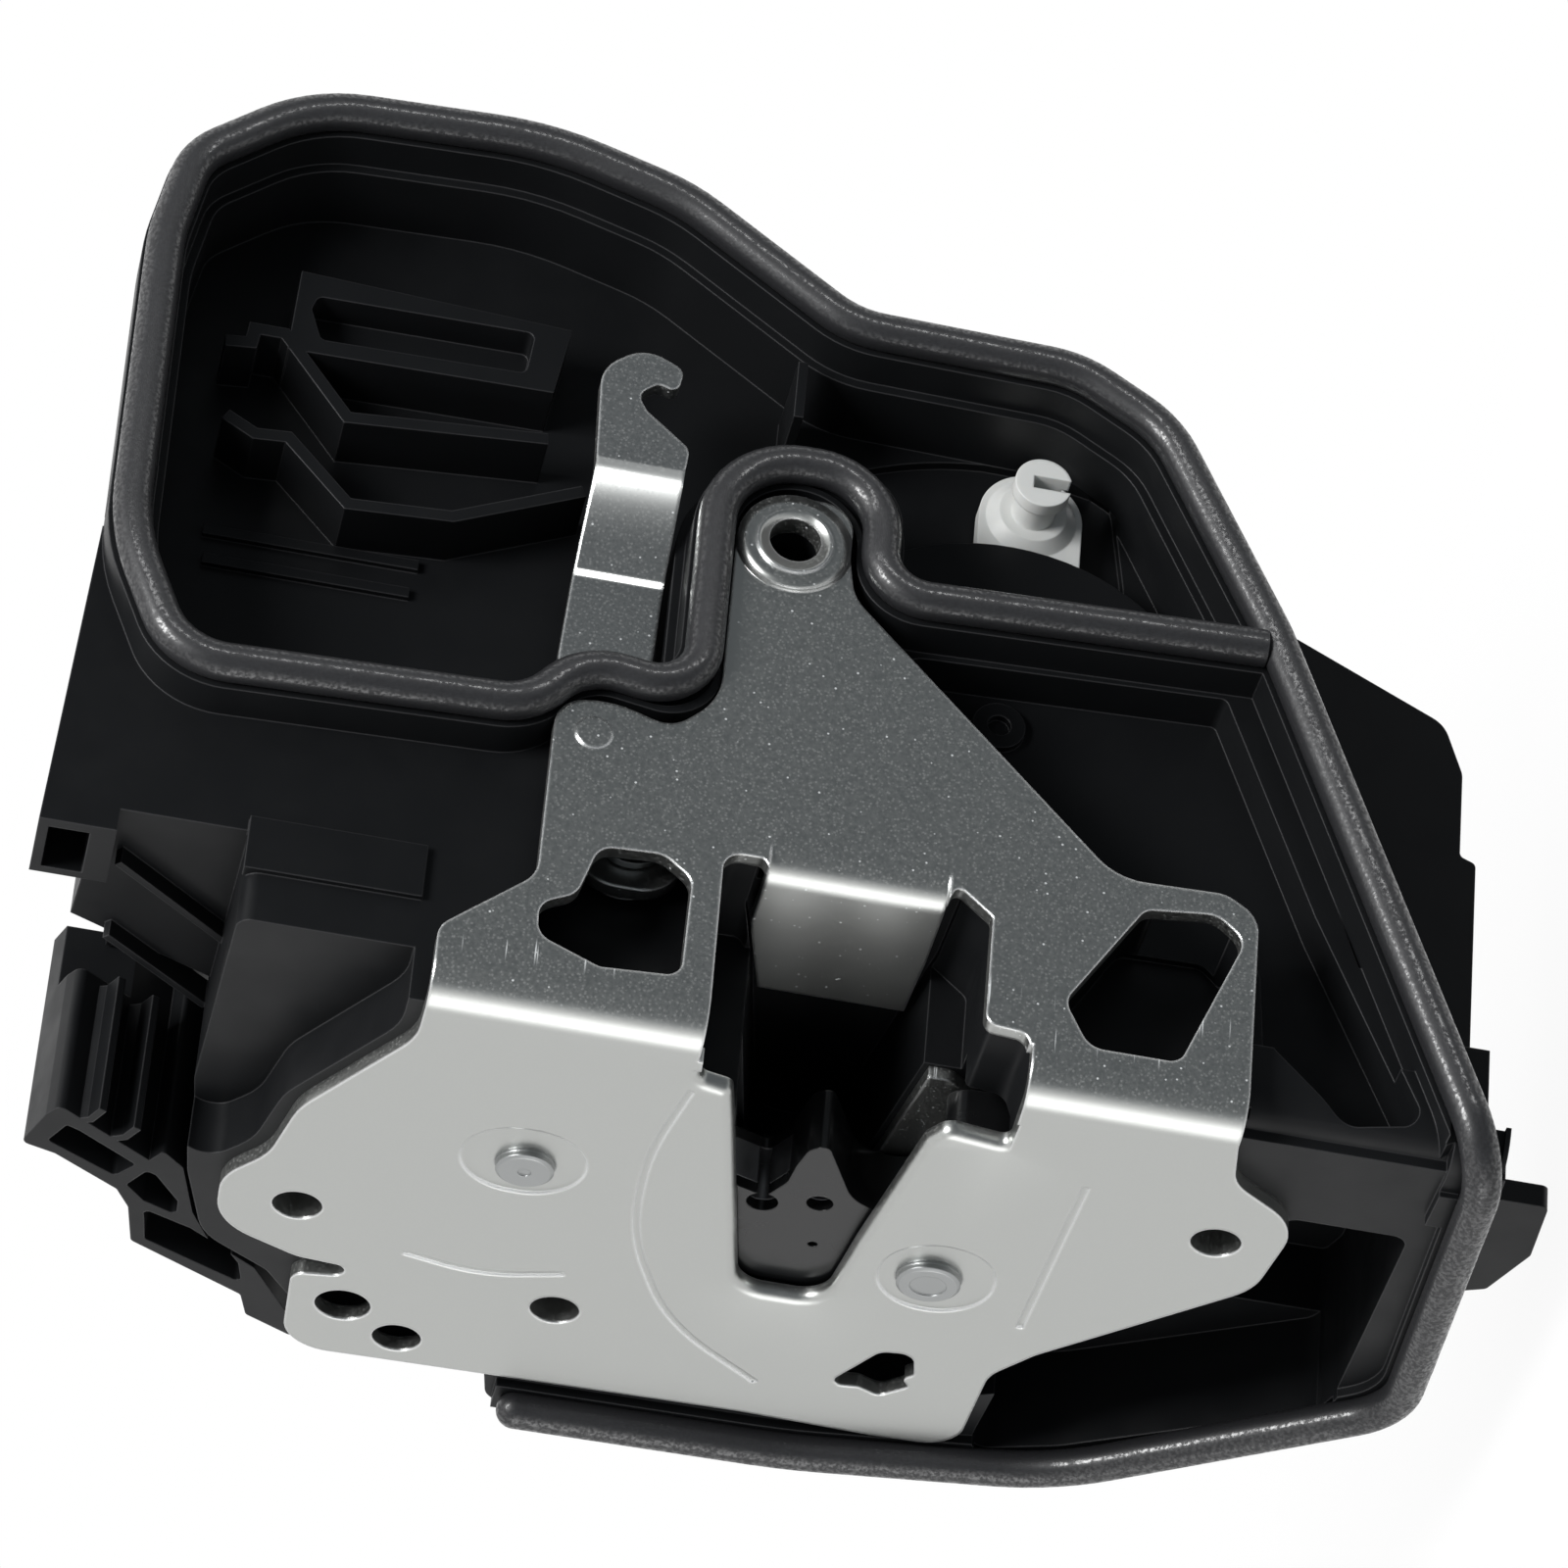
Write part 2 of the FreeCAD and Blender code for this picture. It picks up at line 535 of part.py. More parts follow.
def gear_corners(centre, teeth, module, thin, phase_deg, first, last, hub_r):
    """Involute outline (X, Z) of the teeth numbered first to last, closed through a hub radius if partial."""
    pitch_r = module * teeth / 2
    base_r = pitch_r * math.cos(math.radians(20))
    tip_r = pitch_r + 0.9 * module
    root_r = pitch_r - 1.2 * module
    thick = math.pi * module / 2 - thin
    half_pitch = thick / (2 * pitch_r) + math.tan(math.radians(20)) - math.radians(20)
    low_r = max(root_r + 0.02, base_r)
    radii = [root_r] + [low_r + (tip_r - low_r) * k / 4 for k in range(5)]
    flank = []
    for r in radii:
        a = math.acos(min(1.0, base_r / max(r, base_r)))
        flank.append((r, half_pitch - (math.tan(a) - a)))
    points = []
    for n in range(first, last + 1):
        middle = math.radians(phase_deg) + 2 * math.pi * n / teeth
        for r, half in flank:
            points.append((centre[0] + r * math.cos(middle - half), centre[1] + r * math.sin(middle - half)))
        for r, half in flank[::-1]:
            points.append((centre[0] + r * math.cos(middle + half), centre[1] + r * math.sin(middle + half)))
    if last - first + 1 < teeth:
        start = math.radians(phase_deg) + 2 * math.pi * (first - 0.6) / teeth
        end = math.radians(phase_deg) + 2 * math.pi * (last + 0.6) / teeth
        points.insert(0, (centre[0] + hub_r * math.cos(start), centre[1] + hub_r * math.sin(start)))
        points.append((centre[0] + hub_r * math.cos(end), centre[1] + hub_r * math.sin(end)))
    return points


def make_hook_lever():
    """Steel lever of the inside handle's cable: pivot eye, raised upper half and hook."""
    low = hook_low_y
    high = hook_high_y
    side = [(20, low), (66.0, low, 3), (77.5, high, 3), (98, high), (98, high + hook_t),
            (77.9, high + hook_t, 5), (66.4, low + hook_t, 5), (20, low + hook_t)]
    strip = prism("z", side, 15, 45)
    shape = [(30.0, 21.0, 7), (37.0, 21.0, 5), (41.0, 27.4, 5), (54.2, 27.8), (79.6, 26.9, 1.5), (82.6,
                                                                                                  26.6, 2),
             (87.2, 32.2, 1.6), (89.6, 33.6, 1.8), (91.6, 31.2, 1), (90.8, 28.8, 1.6), (94.2, 28.2, 1.6),
             (96.6, 33.2, 5), (92.6, 38.2, 5), (78.5, 37.6, 4), (54.0, 38.9, 8), (40.0, 38.4, 6),
             (30.0, 36.0, 7), (22.8, 33.0, 6), (22.8, 23.0, 6)]
    lever = strip.common(prism("y", shape, -1, 14))
    return lever.cut(rod("y", hook_pivot_x, hook_pivot_z, hook_pin_r + shaft_gap, -1, 14)).removeSplitter()


def make_lock_lever():
    """White lever: hub, arm, D-shaped plate with the hooked post, and the toothed sector of the drive."""
    y0 = lever_top_y
    y1 = y0 + lever_t
    plate = [(81.0, -10.8), (97.0, -10.8, 6.3), (97.0, -23.6, 6.3), (81.0, -23.6)]
    arm = [(lever_pivot_x, lever_pivot_z + 5.6), (72.0, -11.4, 8), (82.0, -10.8), (82.0, -23.6),
           (72.0, -20.4, 8), (lever_pivot_x, lever_pivot_z - 5.6)]
    post_x = 90.6
    post_z = -17.2
    cone = Part.makeCone(5.6, 4.2, 1.4, V(post_x, y0, post_z), V(0, -1, 0))
    post = rod("y", post_x, post_z, 2.7, y0 - 6.0, y0)
    head = rod("y", post_x, post_z, 3.5, y0 - 7.6, y0 - 5.6)
    slot = [(post_x - 0.9, post_z - 4), (post_x - 0.9, post_z + 1.2), (post_x + 0.9, post_z + 1.2),
            (post_x + 0.9, post_z - 4)]
    hub = rod("y", lever_pivot_x, lever_pivot_z, lever_hub_r, y0, sector_y0 + 4.0)
    pivot = (lever_pivot_x, lever_pivot_z)
    teeth = gear_corners(pivot, sector_teeth, gear_module, gear_thin, pinion_dir_deg, -4, 3, lever_hub_r - 1)
    sector = prism("y", teeth, sector_y0, sector_y0 + 3.5)
    lever = join([prism("y", plate, y0, y1), prism("y", arm, y0, y1), cone, post, head, hub, sector])
    lever = lever.cut([rod("y", lever_pivot_x, lever_pivot_z, lever_pin_r + shaft_gap, y0 - 1, y0 + 12),
                       prism("y", slot, y0 - 8, y0 - 4.6)])
    return lever.removeSplitter()


def make_worm_wheel():
    """Wheel with teeth slanted to the worm's thread, and the pinion that turns the lever's sector."""
    half = wheel_w / 2
    twist = math.degrees(worm_pitch / (2 * math.pi * worm_pitch_r) * half / (wheel_module * wheel_teeth / 2))
    centre = (wheel_x, wheel_z)
    low = gear_corners(centre, wheel_teeth, wheel_module, gear_thin, 90 + twist, 0, wheel_teeth - 1, 0)
    high = gear_corners(centre, wheel_teeth, wheel_module, gear_thin, 90 - twist, 0, wheel_teeth - 1, 0)
    rings = [outline("y", low, drive_y - half), outline("y", high, drive_y + half)]
    wheel = Part.makeLoft(rings, True, True)
    phase = pinion_dir_deg + 180 + 180.0 / pinion_teeth
    pinion = prism("y", gear_corners(centre, pinion_teeth, gear_module, gear_thin, phase, 0,
                                     pinion_teeth - 1, 0),
                   drive_y + half - 0.5, sector_y0 + 4.0)
    bore = rod("y", wheel_x, wheel_z, wheel_pin_r + shaft_gap, drive_y - half - 1, sector_y0 + 5)
    return join([wheel, pinion]).cut(bore).removeSplitter()


def make_worm():
    """Worm on the motor's shaft: a round core with one helical thread."""
    root_r = worm_pitch_r - 1.2 * wheel_module
    tip_r = worm_pitch_r + 0.85 * wheel_module
    thick = worm_pitch / 2 - gear_thin
    slope = math.tan(math.radians(20))
    root_half = thick / 2 + slope * (worm_pitch_r - root_r + 0.4)
    tip_half = thick / 2 - slope * (tip_r - worm_pitch_r)
    r0 = root_r - 0.4
    profile = Part.makePolygon([V(r0, 0, -root_half), V(tip_r, 0, -tip_half), V(tip_r, 0, tip_half),
                                V(r0, 0, root_half), V(r0, 0, -root_half)])
    helix = Part.makeHelix(worm_pitch, worm_x1 - worm_x0, worm_pitch_r)
    thread = Part.Wire(helix).makePipeShell([profile], True, True)
    thread.rotate(V(0, 0, 0), V(0, 1, 0), 90)
    thread.translate(V(worm_x0, drive_y, worm_z))
    core = rod("x", drive_y, worm_z, root_r, worm_x0 - 2.5, motor_x0 - 0.8)
    shaft = rod("x", drive_y, worm_z, 1.0, worm_x0 - 5.0, motor_x0 + 3.0)
    return join([thread, core, shaft])


def make_motor():
    """Small electric motor: can with two flats, end boss and brush cap."""
    can = rod("x", drive_y, worm_z, motor_r, motor_x0, motor_x0 + motor_len)
    flats = box(motor_x0, motor_x0 + motor_len, drive_y - motor_r + 1.5, drive_y + motor_r - 1.5,
                worm_z - motor_r, worm_z + motor_r)
    boss = rod("x", drive_y, worm_z, 3.0, motor_x0 - 0.5, motor_x0 + 1)
    bore = rod("x", drive_y, worm_z, 1.05, motor_x0 - 2, motor_x0 + 3.5)
    return join([can.common(flats), boss]).cut(bore).removeSplitter()


tub_outline = grow([(11.4, -66.4, 0)] + outer_run[:-1]
                   + [(46.0, 91.0, 8), (19.4, 88.6, 1), (19.4, 46.0, 0), (11.4, 46.0, 0)], -rim_inset)
ring = [(66.6, -45.9, 0)] + outer_run[1:] + inner_run[:-1]
basin = grow(ring, -rim_inset - wall_t)
block_outline = [(6, -76.8, 6), (56.6, -80.0, 12), (85.3, -41.6, 33), (91.1, -8, 60), (92.2, 29.2, 3),
                 (82.0, 31.0, 2), (81.0, 52.0, 6), (70, 59.4, 4), (64, 68.0, 8), (50.5, 71.4, 8), (41,
                                                                                                   72.6, 4),
                 (6, 72.0, 2)]
channel = [(-2, -10.6), (16, -10.2, 3), (41, -6.8, 8), (55.4, -5.5, 4), (55.4, 4.3, 4), (18, 11.6, 6),
           (11, 13.6, 3), (-2, 13.6)]


def pawl_sweep():
    """(Y, Z) outline of the room that the pawl's arm needs."""
    return [(30, 22, 3), (58, -6, 4), (74.0, 1.5, 4), (74.0, 13.0, 6), (46, 42.5, 6), (30, 44, 6)]


backplate_outline = [(23.5, 43.6, 7), (45.0, 43.6, 7), (63.0, 19.0, 8), (63.0, -24.0, 12), (50.0, -41.0, 12),
                     (34.0, -38.0, 10), (24.0, -20.0, 6), (18.5, -13.4, 2), (18.5, 15.0, 2)]


def make_backplate(lug_y, lug_z):
    """Steel plate that carries the inner ends of the two pivot pins."""
    plate = prism("x", backplate_outline, backplate_x0, backplate_x1)
    cuts = [prism("x", grow(channel, 0.8), backplate_x0 - 1, backplate_x1 + 1),
            rod("x", catch_y, catch_z, catch_pin_neck_r, backplate_x0 - 1, backplate_x1 + 1),
            rod("x", pawl_y, pawl_z, pawl_pin_neck_r, backplate_x0 - 1, backplate_x1 + 1)]
    for degrees in (-4.5, -1.5, 1.5, 4.5, 8.0):
        a = math.radians(degrees)
        dy = lug_y - pawl_y
        dz = lug_z - pawl_z
        y = pawl_y + dy * math.cos(a) + dz * math.sin(a)
        z = pawl_z - dy * math.sin(a) + dz * math.cos(a)
        cuts.append(rod("x", y, z, 3.0, backplate_x0 - 1, backplate_x1 + 1))
    return plate.cut(cuts).removeSplitter()


def make_bump_stop():
    """Rubber buffer at the end of the striker's way."""
    return box(backplate_x1 + 0.5, 23.0, 55.0, 60.0, -4.4, 3.2)


def make_switch(y, z):
    """Snap switch behind the back plate, with its bore, and its plunger."""
    body = box(backplate_x1 + 0.2, backplate_x1 + 6.2, y - 5, y + 5, z - 3, z + 3)
    body = body.cut(rod("x", y, z + 1, 1.25, backplate_x1 - 1, backplate_x1 + 3.2))
    plunger = rod("x", y, z + 1, 1.2, catch_x1 + 0.3, backplate_x1 + 2.0)
    return body, plunger


def make_housing(bump, switches, lug):
    """Main moulding: tub, rim, lock block, striker channel, chamber, pockets and their ribs."""
    solids = [prism("y", tub_outline, deck_y, back_y), prism("x", block_outline, 2.0, block_back_x),
              wall("y", outer_run[:-2] + [(62.0, 91.3, 0)], 2 * rim_half_w, rim_level, deck_y + 1)]
    left_rim = [(66.0, 91.3, 0), (55.4, 91.2, 30), (38.7, 83.5, 9)] + inner_run
    solids.append(wall("y", left_rim, 2 * rim_half_w, rim_level, deck_y + 1))
    solids.append(wall("y", [low_start, (68.5, -45.0, 0), (72.0, -43.2, 0)], 2 * rim_half_w,
                       rim_level, deck_y + 1))
    tail = [(88.9, 28.6, 0)] + seal_tail[1:] + [(4.0, -73.6, 0)]
    solids.append(wall("x", tail, 2 * rim_half_w, rim_level, 6.0))
    solids.append(prism("y", grow(plate_inner[:-1] + [(-1.0, bend_z1)], -1.0), plate_t, deck_y + 2)
                  .cut(box(-5, 2.0, -5, 20, -60, 60)))
    corner_profile = [(rim_level, rim_level, rim_bend_r), (16, rim_level), (16, 16), (rim_level, 16)]
    solids.append(prism("z", corner_profile, seal_corner_z - rim_half_w, -69.8))
    solids.append(prism("z", [(3.0, 3.0, 7), (13.0, 3.0), (13.0, 20.4), (3.0, 20.4)], -70.5, -45.4))
    solids.append(prism("x", [(6, 71), (6, 89.0), (29.0, 90.2), (38.5, 71)], 21.0, block_back_x))
    solids.append(prism("y", [(18, 87.0), (18, 96), (60, 94.0), (60, 87.0)], 6.0, 17.0))
    solids.append(prism("x", [(28.5, -76.0), (28.5, -87.8, 1), (39.6, -88.6, 1.5), (48.6, -85.5, 1),
                              (50.1, -82.4), (50.1, -76.0)], 14.0, 17.0))
    body = join(solids)
    edge_z = seal_corner_z - rim_half_w - 0.05 - seal_line * run_slope
    body = body.cut(prism("y", [(6.0, edge_z + 6.0 * run_slope), (30.0, edge_z + 30.0 * run_slope), (30.0,
                                                                                                     -90.0),
                                (6.0, -90.0)], -5, 18.5))
    right = [(61.0, 2.2, 3), (63.0, -41.0, 1), (34.0, -53.0), (6.0, -66.6, 2), (4.6, -57.0, 4), (13.4,
                                                                                                 -47.6, 4),
             (27.0, -46.6, 4), (29.4, -27.0, 8)]
    side_low = [(21.4, -69.2, 2), (57.6, -69.6, 3), (63.0, -67.4, 3), (80.2, -40.4, 8), (84.4, -29.6, 2),
                (57.0, -31.2, 4), (34.6, -52.6, 8), (21.4, -54.6, 2)]
    side_deep = [(21.4, -69.2, 2), (57.6, -69.6, 3), (61.4, -68.4, 1), (61.4, -36.2, 1), (57.0, -31.2, 3),
                 (34.6, -52.6, 8), (21.4, -54.6, 2)]
    funnel = [(-2, 51.6), (11.6, 51.6, 10), (30.4, 62.6, 12), (41.4, 64.8, 10), (47.0, 69.4, 3), (43.0, 75.0),
              (-2, 75.0)]
    lever_room = [(20.6, 18.6, 3), (40.0, 18.6, 2), (42.0, 24.4, 2), (56.0, 24.4, 2), (56.0, 50.0, 3),
                  (43.0, 46.5, 3), (36.0, 41.5, 3), (24.0, 38.4, 3)]
    under_plate = [(6.0, 20.0, 2), (38.0, 19.4, 2), (38.0, 37.0, 2), (20.0, 37.6, 2), (14.0, 40.0, 2),
                   (6.0, 40.0, 2)]
    under_low = [(6.0, -23.4, 2), (13.0, -21.8, 2), (28.6, -31.0, 2), (28.8, -41.0, 2), (25.6, -44.4, 2),
                 (6.0, -38.0, 2)]
    cuts = [prism("y", basin, -5, pocket_floor_y), prism("y", right, -5, side_floor_y),
            prism("x", side_low, -5, 15.0), prism("x", side_deep, -5, 24.0), prism("x", funnel, -5, funnel_x),
            prism("y", under_plate, 1, 11.0), prism("y", under_low, 1, 13.0),
            prism("y", lever_room, hook_low_y - 0.5, 11.0),
            prism("x", channel, 1, 27.0), prism("y", grow(slot_inner, 0.6), 1, 18.0),
            rod("x", catch_y, catch_z, catch_outer_r + 1.5, 1, backplate_x1),
            rod("x", pawl_y, pawl_z, pawl_hub_r + 1.4, 1, backplate_x1), prism("x", pawl_sweep(), 1,
                                                                               backplate_x1),
            rod("x", lug[0], lug[1], 6.0, 1, backplate_x1 + 5.4), bump,
            prism("x", grow(backplate_outline, 0.15), 1, backplate_x1),
            box(1, plate_bend_r, 1, plate_bend_r, bend_z0 - 1, bend_z1 + 1),
            box(slot_top_x - 1, slot_top_x + tongue_r + 3, 1, tongue_r + 1, tongue_z0 - 0.5, tongue_z1 + 0.5),
            prism("y", [(17, 90), (17, 94.8), (56, 93), (56, 90)], 7.5, 15.8)]
    for y, z in (upper_screw, lower_screw, outer_screw):
        cuts.append(rod("x", y, z, screw_collar_r + fit_gap, 1, plate_t + screw_collar_len + fit_gap))
        cuts.append(rod("x", y, z, screw_hole_r + 0.6, 1, 22.0))
    for y, z, r in ((72.0, 49.6, 3.4), (77.6, 42.2, 3.0), (67.6, -15.2, 5.4)):
        cuts.append(rod("x", y, z, r + 0.6, 1, 8.0))
    for y, z, r in ((catch_y, catch_z, 7.3), (pawl_y, pawl_z, 7.1)):
        cuts.append(rod("x", y, z, r, 12, backplate_x1 + spring_room + 1.4))
    for switch, plunger in switches:
        box_of = plunger.BoundBox
        cuts += [switch, rod("x", box_of.Center.y, box_of.Center.z, 1.5, 1, backplate_x1 + 1)]
    back_room = grow(tub_outline, -wall_t)
    back_room = prism("y", back_room, pocket_floor_y + wall_t, back_y + 1).cut(box(0, 30.4, 0, 60, -90, 100))
    body = body.cut(cuts)
    body = body.cut([back_room, rod("y", tab_x, tab_z, tab_hole_r + 0.4, 1, 16.0)])
    arc_r = 27.2
    raised = prism("y", grow([(66.6, -45.9, 0), (96.2, -30.5, 14), (102.8, -19.2, 14), (103.0, 3.4, 0),
                              (64.5, 3.4, 6)], -2.4), side_floor_y, pocket_floor_y + wall_t)
    raised = raised.common(rod("y", lever_pivot_x, lever_pivot_z, arc_r, 0, 30))
    post = rod("y", lever_pivot_x, lever_pivot_z, 9.0, side_floor_y, back_y)
    boss = tube("y", lever_pivot_x, lever_pivot_z, 3.2, 1.4, side_floor_y - 1.0, side_floor_y + 1)
    ribs = [raised, post, boss]
    bracket = [[(91.7, 82.9), (92.0, 79.8), (94.2, 79.6), (94.2, 75.9), (83.4, 67.2), (85.4, 43.0)],
               [(80.8, 81.6), (78.7, 77.8), (79.0, 73.8), (70.8, 65.8), (71.6, 53.2), (78.6, 38.0)]]
    for line in bracket:
        ribs.append(wall("y", line, 1.6, 8.0, pocket_floor_y + 1))
    shelf = prism("y", [(104.0, 75.0), (92.0, 75.4), (92.4, 43.0), (102.2, 41.6)], 8.0, pocket_floor_y + 1)
    shelf = shelf.cut(prism("y", [(100.6, 72.6, 1), (98.6, 73.2, 1), (94.2, 71.6, 1), (94.6, 46.6, 1),
                                  (100.8, 46.0, 1)], 7.0, 12.5))
    ribs.append(shelf)
    ribs.append(box(68.2, 69.6, pocket_floor_y - 0.8, pocket_floor_y + 1, 56.0, 82.0))
    ribs.append(box(64.0, 65.4, pocket_floor_y - 0.8, pocket_floor_y + 1, 56.7, 81.6))
    ribs.append(box(91.4, 99.7, 3.0, pocket_floor_y + 1, 13.2, 14.4))
    ribs.append(box(15.5, 22.6, deck_y - 0.8, deck_y + 1, 51.5, 72.2))
    ribs.append(wall("x", [(13.9, 86.1), (27.1, 71.5)], 1.0, 18.8, 22.0))
    ribs.append(wall("x", [(29.4, 85.7), (40.9, 72.5)], 1.0, 18.8, 22.0))
    for x, z in case_screw_places:
        ribs.append(rod("y", x, z, 3.4, pocket_floor_y + 1, back_y))
    ribs.append(rod("y", wheel_x, wheel_z, 3.2, pocket_floor_y + 1, drive_y - wheel_w / 2 - 0.4))
    body = join([body] + ribs)
    pad = prism("y", [(46, -27), (99, -34), (105, -15), (105, 6), (92, 10), (50, 4)], lever_floor_y, 19.6)
    body = join([body, pad.common(prism("y", grow(tub_outline, -1), 0, 30))])
    lever_space = rod("y", lever_pivot_x, lever_pivot_z, 42.0, lever_top_y - fit_gap, lever_floor_y)
    wedge = prism("y", [(lever_pivot_x - 3, lever_pivot_z - 12), (lever_pivot_x + 16, lever_pivot_z - 16),
                        (84, -29.5, 2), (97, -27.5, 3), (99.0, -18.0, 3), (99.2, 4.0, 3), (92.0, 6.6, 2),
                        (79, 5.0),
                        (lever_pivot_x + 8, lever_pivot_z + 15), (lever_pivot_x - 3, lever_pivot_z + 10)],
                        0, 30)
    cuts = [lever_space.common(wedge),
            rod("y", lever_pivot_x, lever_pivot_z, 7.0, lever_top_y - fit_gap, lever_floor_y),
            rod("y", lever_pivot_x, lever_pivot_z, lever_hub_r + fit_gap, lever_top_y, back_y + 1),
            rod("y", lever_pivot_x, lever_pivot_z, lever_pin_r, 12.6, 20),
            rod("y", wheel_x, wheel_z, wheel_pin_r, 20, back_y + 4),
            rod("y", hook_pivot_x, hook_pivot_z, hook_pin_r, 6, 20),
            rod("y", hook_pivot_x, hook_pivot_z, 6.6, 9.6, 14.4),
            rod("x", drive_y, worm_z, motor_r + fit_gap, motor_x0 - 1, motor_x0 + motor_len + 1)]
    for x, z in case_screw_places:
        cuts.append(rod("y", x, z, case_screw_r, pocket_floor_y + 4, back_y + 1))
    body = body.cut(cuts)
    hook_boss = tube("y", hook_pivot_x, hook_pivot_z, 4.4, hook_pin_r, 9.8, 15.0)
    body = join([body, hook_boss])
    floor = seal_line + seal_r
    tail = seal_tail + [(4.0, -73.6, 0)]
    grooves = [wall("y", outer_run[:-2] + [(62.0, 91.3, 0)], groove_w, -2, floor),
               wall("y", left_rim, groove_w, -2, floor),
               wall("y", [low_start, (68.5, -45.0, 0)], groove_w, -2, floor),
               wall("x", tail, groove_w, -2, floor), rod("x", 88.8, 25.8, groove_w / 2, -2, floor)]
    bend = prism("z", [(floor, floor, seal_bend_r - seal_r), (20, floor), (20, 20), (floor, 20)], -80, -60)
    grooves.append(box(-3, 9.5, -3, 9.5, seal_corner_z - groove_w / 2 - 0.2, -68.8).cut(bend))
    grooves += [prism("y", grow(plate_inner, 0.15), -1, plate_t), prism("x", grow(plate_shut, 0.15), -1,
                                                                        plate_t)]
    body = body.cut(grooves)
    solids = sorted(body.Solids, key=lambda s: -s.Volume)
    return solids[0]


def make_duct():
    """Slanted duct beside the upper ear, with its dividing ribs."""
    shape = [(60.4, 69.6), (50.8, 71.9), (47.9, 74.6, 0.5), (50.4, 76.0), (41.6, 87.6, 1), (44.0, 89.0, 0.5),
             (50.8, 91.2, 1), (52.2, 87.0, 1), (57.9, 79.0, 1), (61.5, 77.2, 1), (69.0, 76.0, 1), (77.4,
                                                                                                   61.6, 1),
             (81.8, 60.4, 1), (85.4, 54.0, 1), (82.0, 52.6), (80.6, 55.2, 1), (70.8, 60.8, 2), (66.0, 67.0,
                                                                                                3)]
    body = prism("x", shape, 2.4, 22.0)
    cells = [[(51.8, 77.4), (45.2, 86.2), (49.6, 88.2), (55.0, 79.6)], [(53.4, 74.8), (52.8, 76.0), (56.6,
                                                                                                     78.0),
             (59.6, 75.6), (61.6, 71.4), (58.4, 71.6)], [(63.6, 75.0), (61.4, 75.4), (64.0, 69.4), (68.0,
                                                                                                    64.2),
             (70.2, 62.8), (74.8, 61.8), (68.2, 74.4)]]
    cuts = [prism("x", [(c[0], c[1], 0.6) for c in cell], 0, 19.5) for cell in cells]
    tail = prism("x", shape, 21.0, duct_back_x).common(box(20, duct_back_x + 1, case_back_y + 0.5, 90, 50, 95))
    body = join([body, tail])
    body = body.cut(cuts)
    ribs = [wall("x", [(44.6, 86.0), (43.6, 83.8), (41.0, 82.6)], 1.0, 2.4, 21.0),
            wall("x", [(47.6, 81.8), (46.2, 79.4), (43.8, 78.2)], 1.0, 2.4, 21.0),
            wall("x", [(51.6, 76.6), (47.0, 82.0), (43.8, 88.4)], 1.2, 2.4, 21.0)]
    return join([body] + ribs)


case_outline = [(28.4, -77.5), (61.0, -77.5, 0.8), (61.8, -75.5, 0.8), (74.0, -75.5, 3), (81.0, -73.0, 4),
                (91.0, -52.0, 5), (97.0, -49.0, 3), (104.6, -33.0, 10), (106.4, -19.0, 10), (107.0, 7.6, 12),
                (116.0, 31.0, 22), (120.5, 48.5, 36), (119.4, 75.0, 20), (109.0, 86.5, 9), (97.5, 88.5, 20),
                (55.0, 88.2, 20), (28.4, 85.0)]


def make_case():
    """Rear shell over the drive, with motor cradle, bosses and the seats of pins and connector."""
    shell = prism("y", case_outline, back_y, case_back_y)
    inside = grow(case_outline, -case_wall)
    front = prism("y", grow(tub_outline, -wall_t), back_y - 1, back_y + case_wall + 1)
    room = [prism("y", inside, back_y + case_wall, case_back_y - case_wall),
            front.common(prism("y", inside, back_y - 1, back_y + case_wall + 1))]
    shell = shell.cut(room)
    extra = []
    for x, z in case_screw_places:
        extra.append(rod("y", x, z, 3.8, back_y, case_back_y - 1))
    for x in (motor_x0 + 4, motor_x0 + motor_len - 6):
        extra.append(box(x, x + 2.0, drive_y, case_back_y - 1, worm_z - motor_r - 2, worm_z + motor_r + 2))
    extra.append(rod("y", wheel_x, wheel_z, 3.2, sector_y0 + 4.4, case_back_y - 1))
    extra.append(rod("y", lever_pivot_x, lever_pivot_z, 4.0, sector_y0 + 4.4, case_back_y - 1))
    body = join([shell] + extra)
    cuts = [rod("x", drive_y, worm_z, motor_r, motor_x0, motor_x0 + motor_len),
            rod("y", wheel_x, wheel_z, wheel_pin_r, 20, case_back_y - 1.2),
            rod("y", key_x, key_z, key_r + shaft_gap, case_back_y - 4, case_back_y + 1),
            rod("y", outer_x, outer_z, 2.5, case_back_y - 4, case_back_y + 1)]
    for x, z in case_screw_places:
        cuts.append(rod("y", x, z, case_screw_r + 0.4, back_y - 1, case_back_y + 1))
    for x, z in pin_places:
        cuts.append(rod("y", x, z, 0.6, case_back_y - 4, case_back_y + 1))
    return body.cut(cuts).removeSplitter()


def make_key_coupler():
    """Rotor that the lock cylinder's bar turns."""
    body = rod("y", key_x, key_z, key_r, case_back_y - case_wall - 1.4, case_back_y + 4)
    flange = rod("y", key_x, key_z, key_r + 2, case_back_y - case_wall - 2.4, case_back_y - case_wall - 0.3)
    ring = rod("y", key_x, key_z, key_r + 2, case_back_y + 0.3, case_back_y + 2)
    slot = box(key_x - 1, key_x + 1, case_back_y - 1, case_back_y + 5, key_z - 4.4, key_z + 4.4)
    return join([body, flange, ring]).cut(slot).removeSplitter()


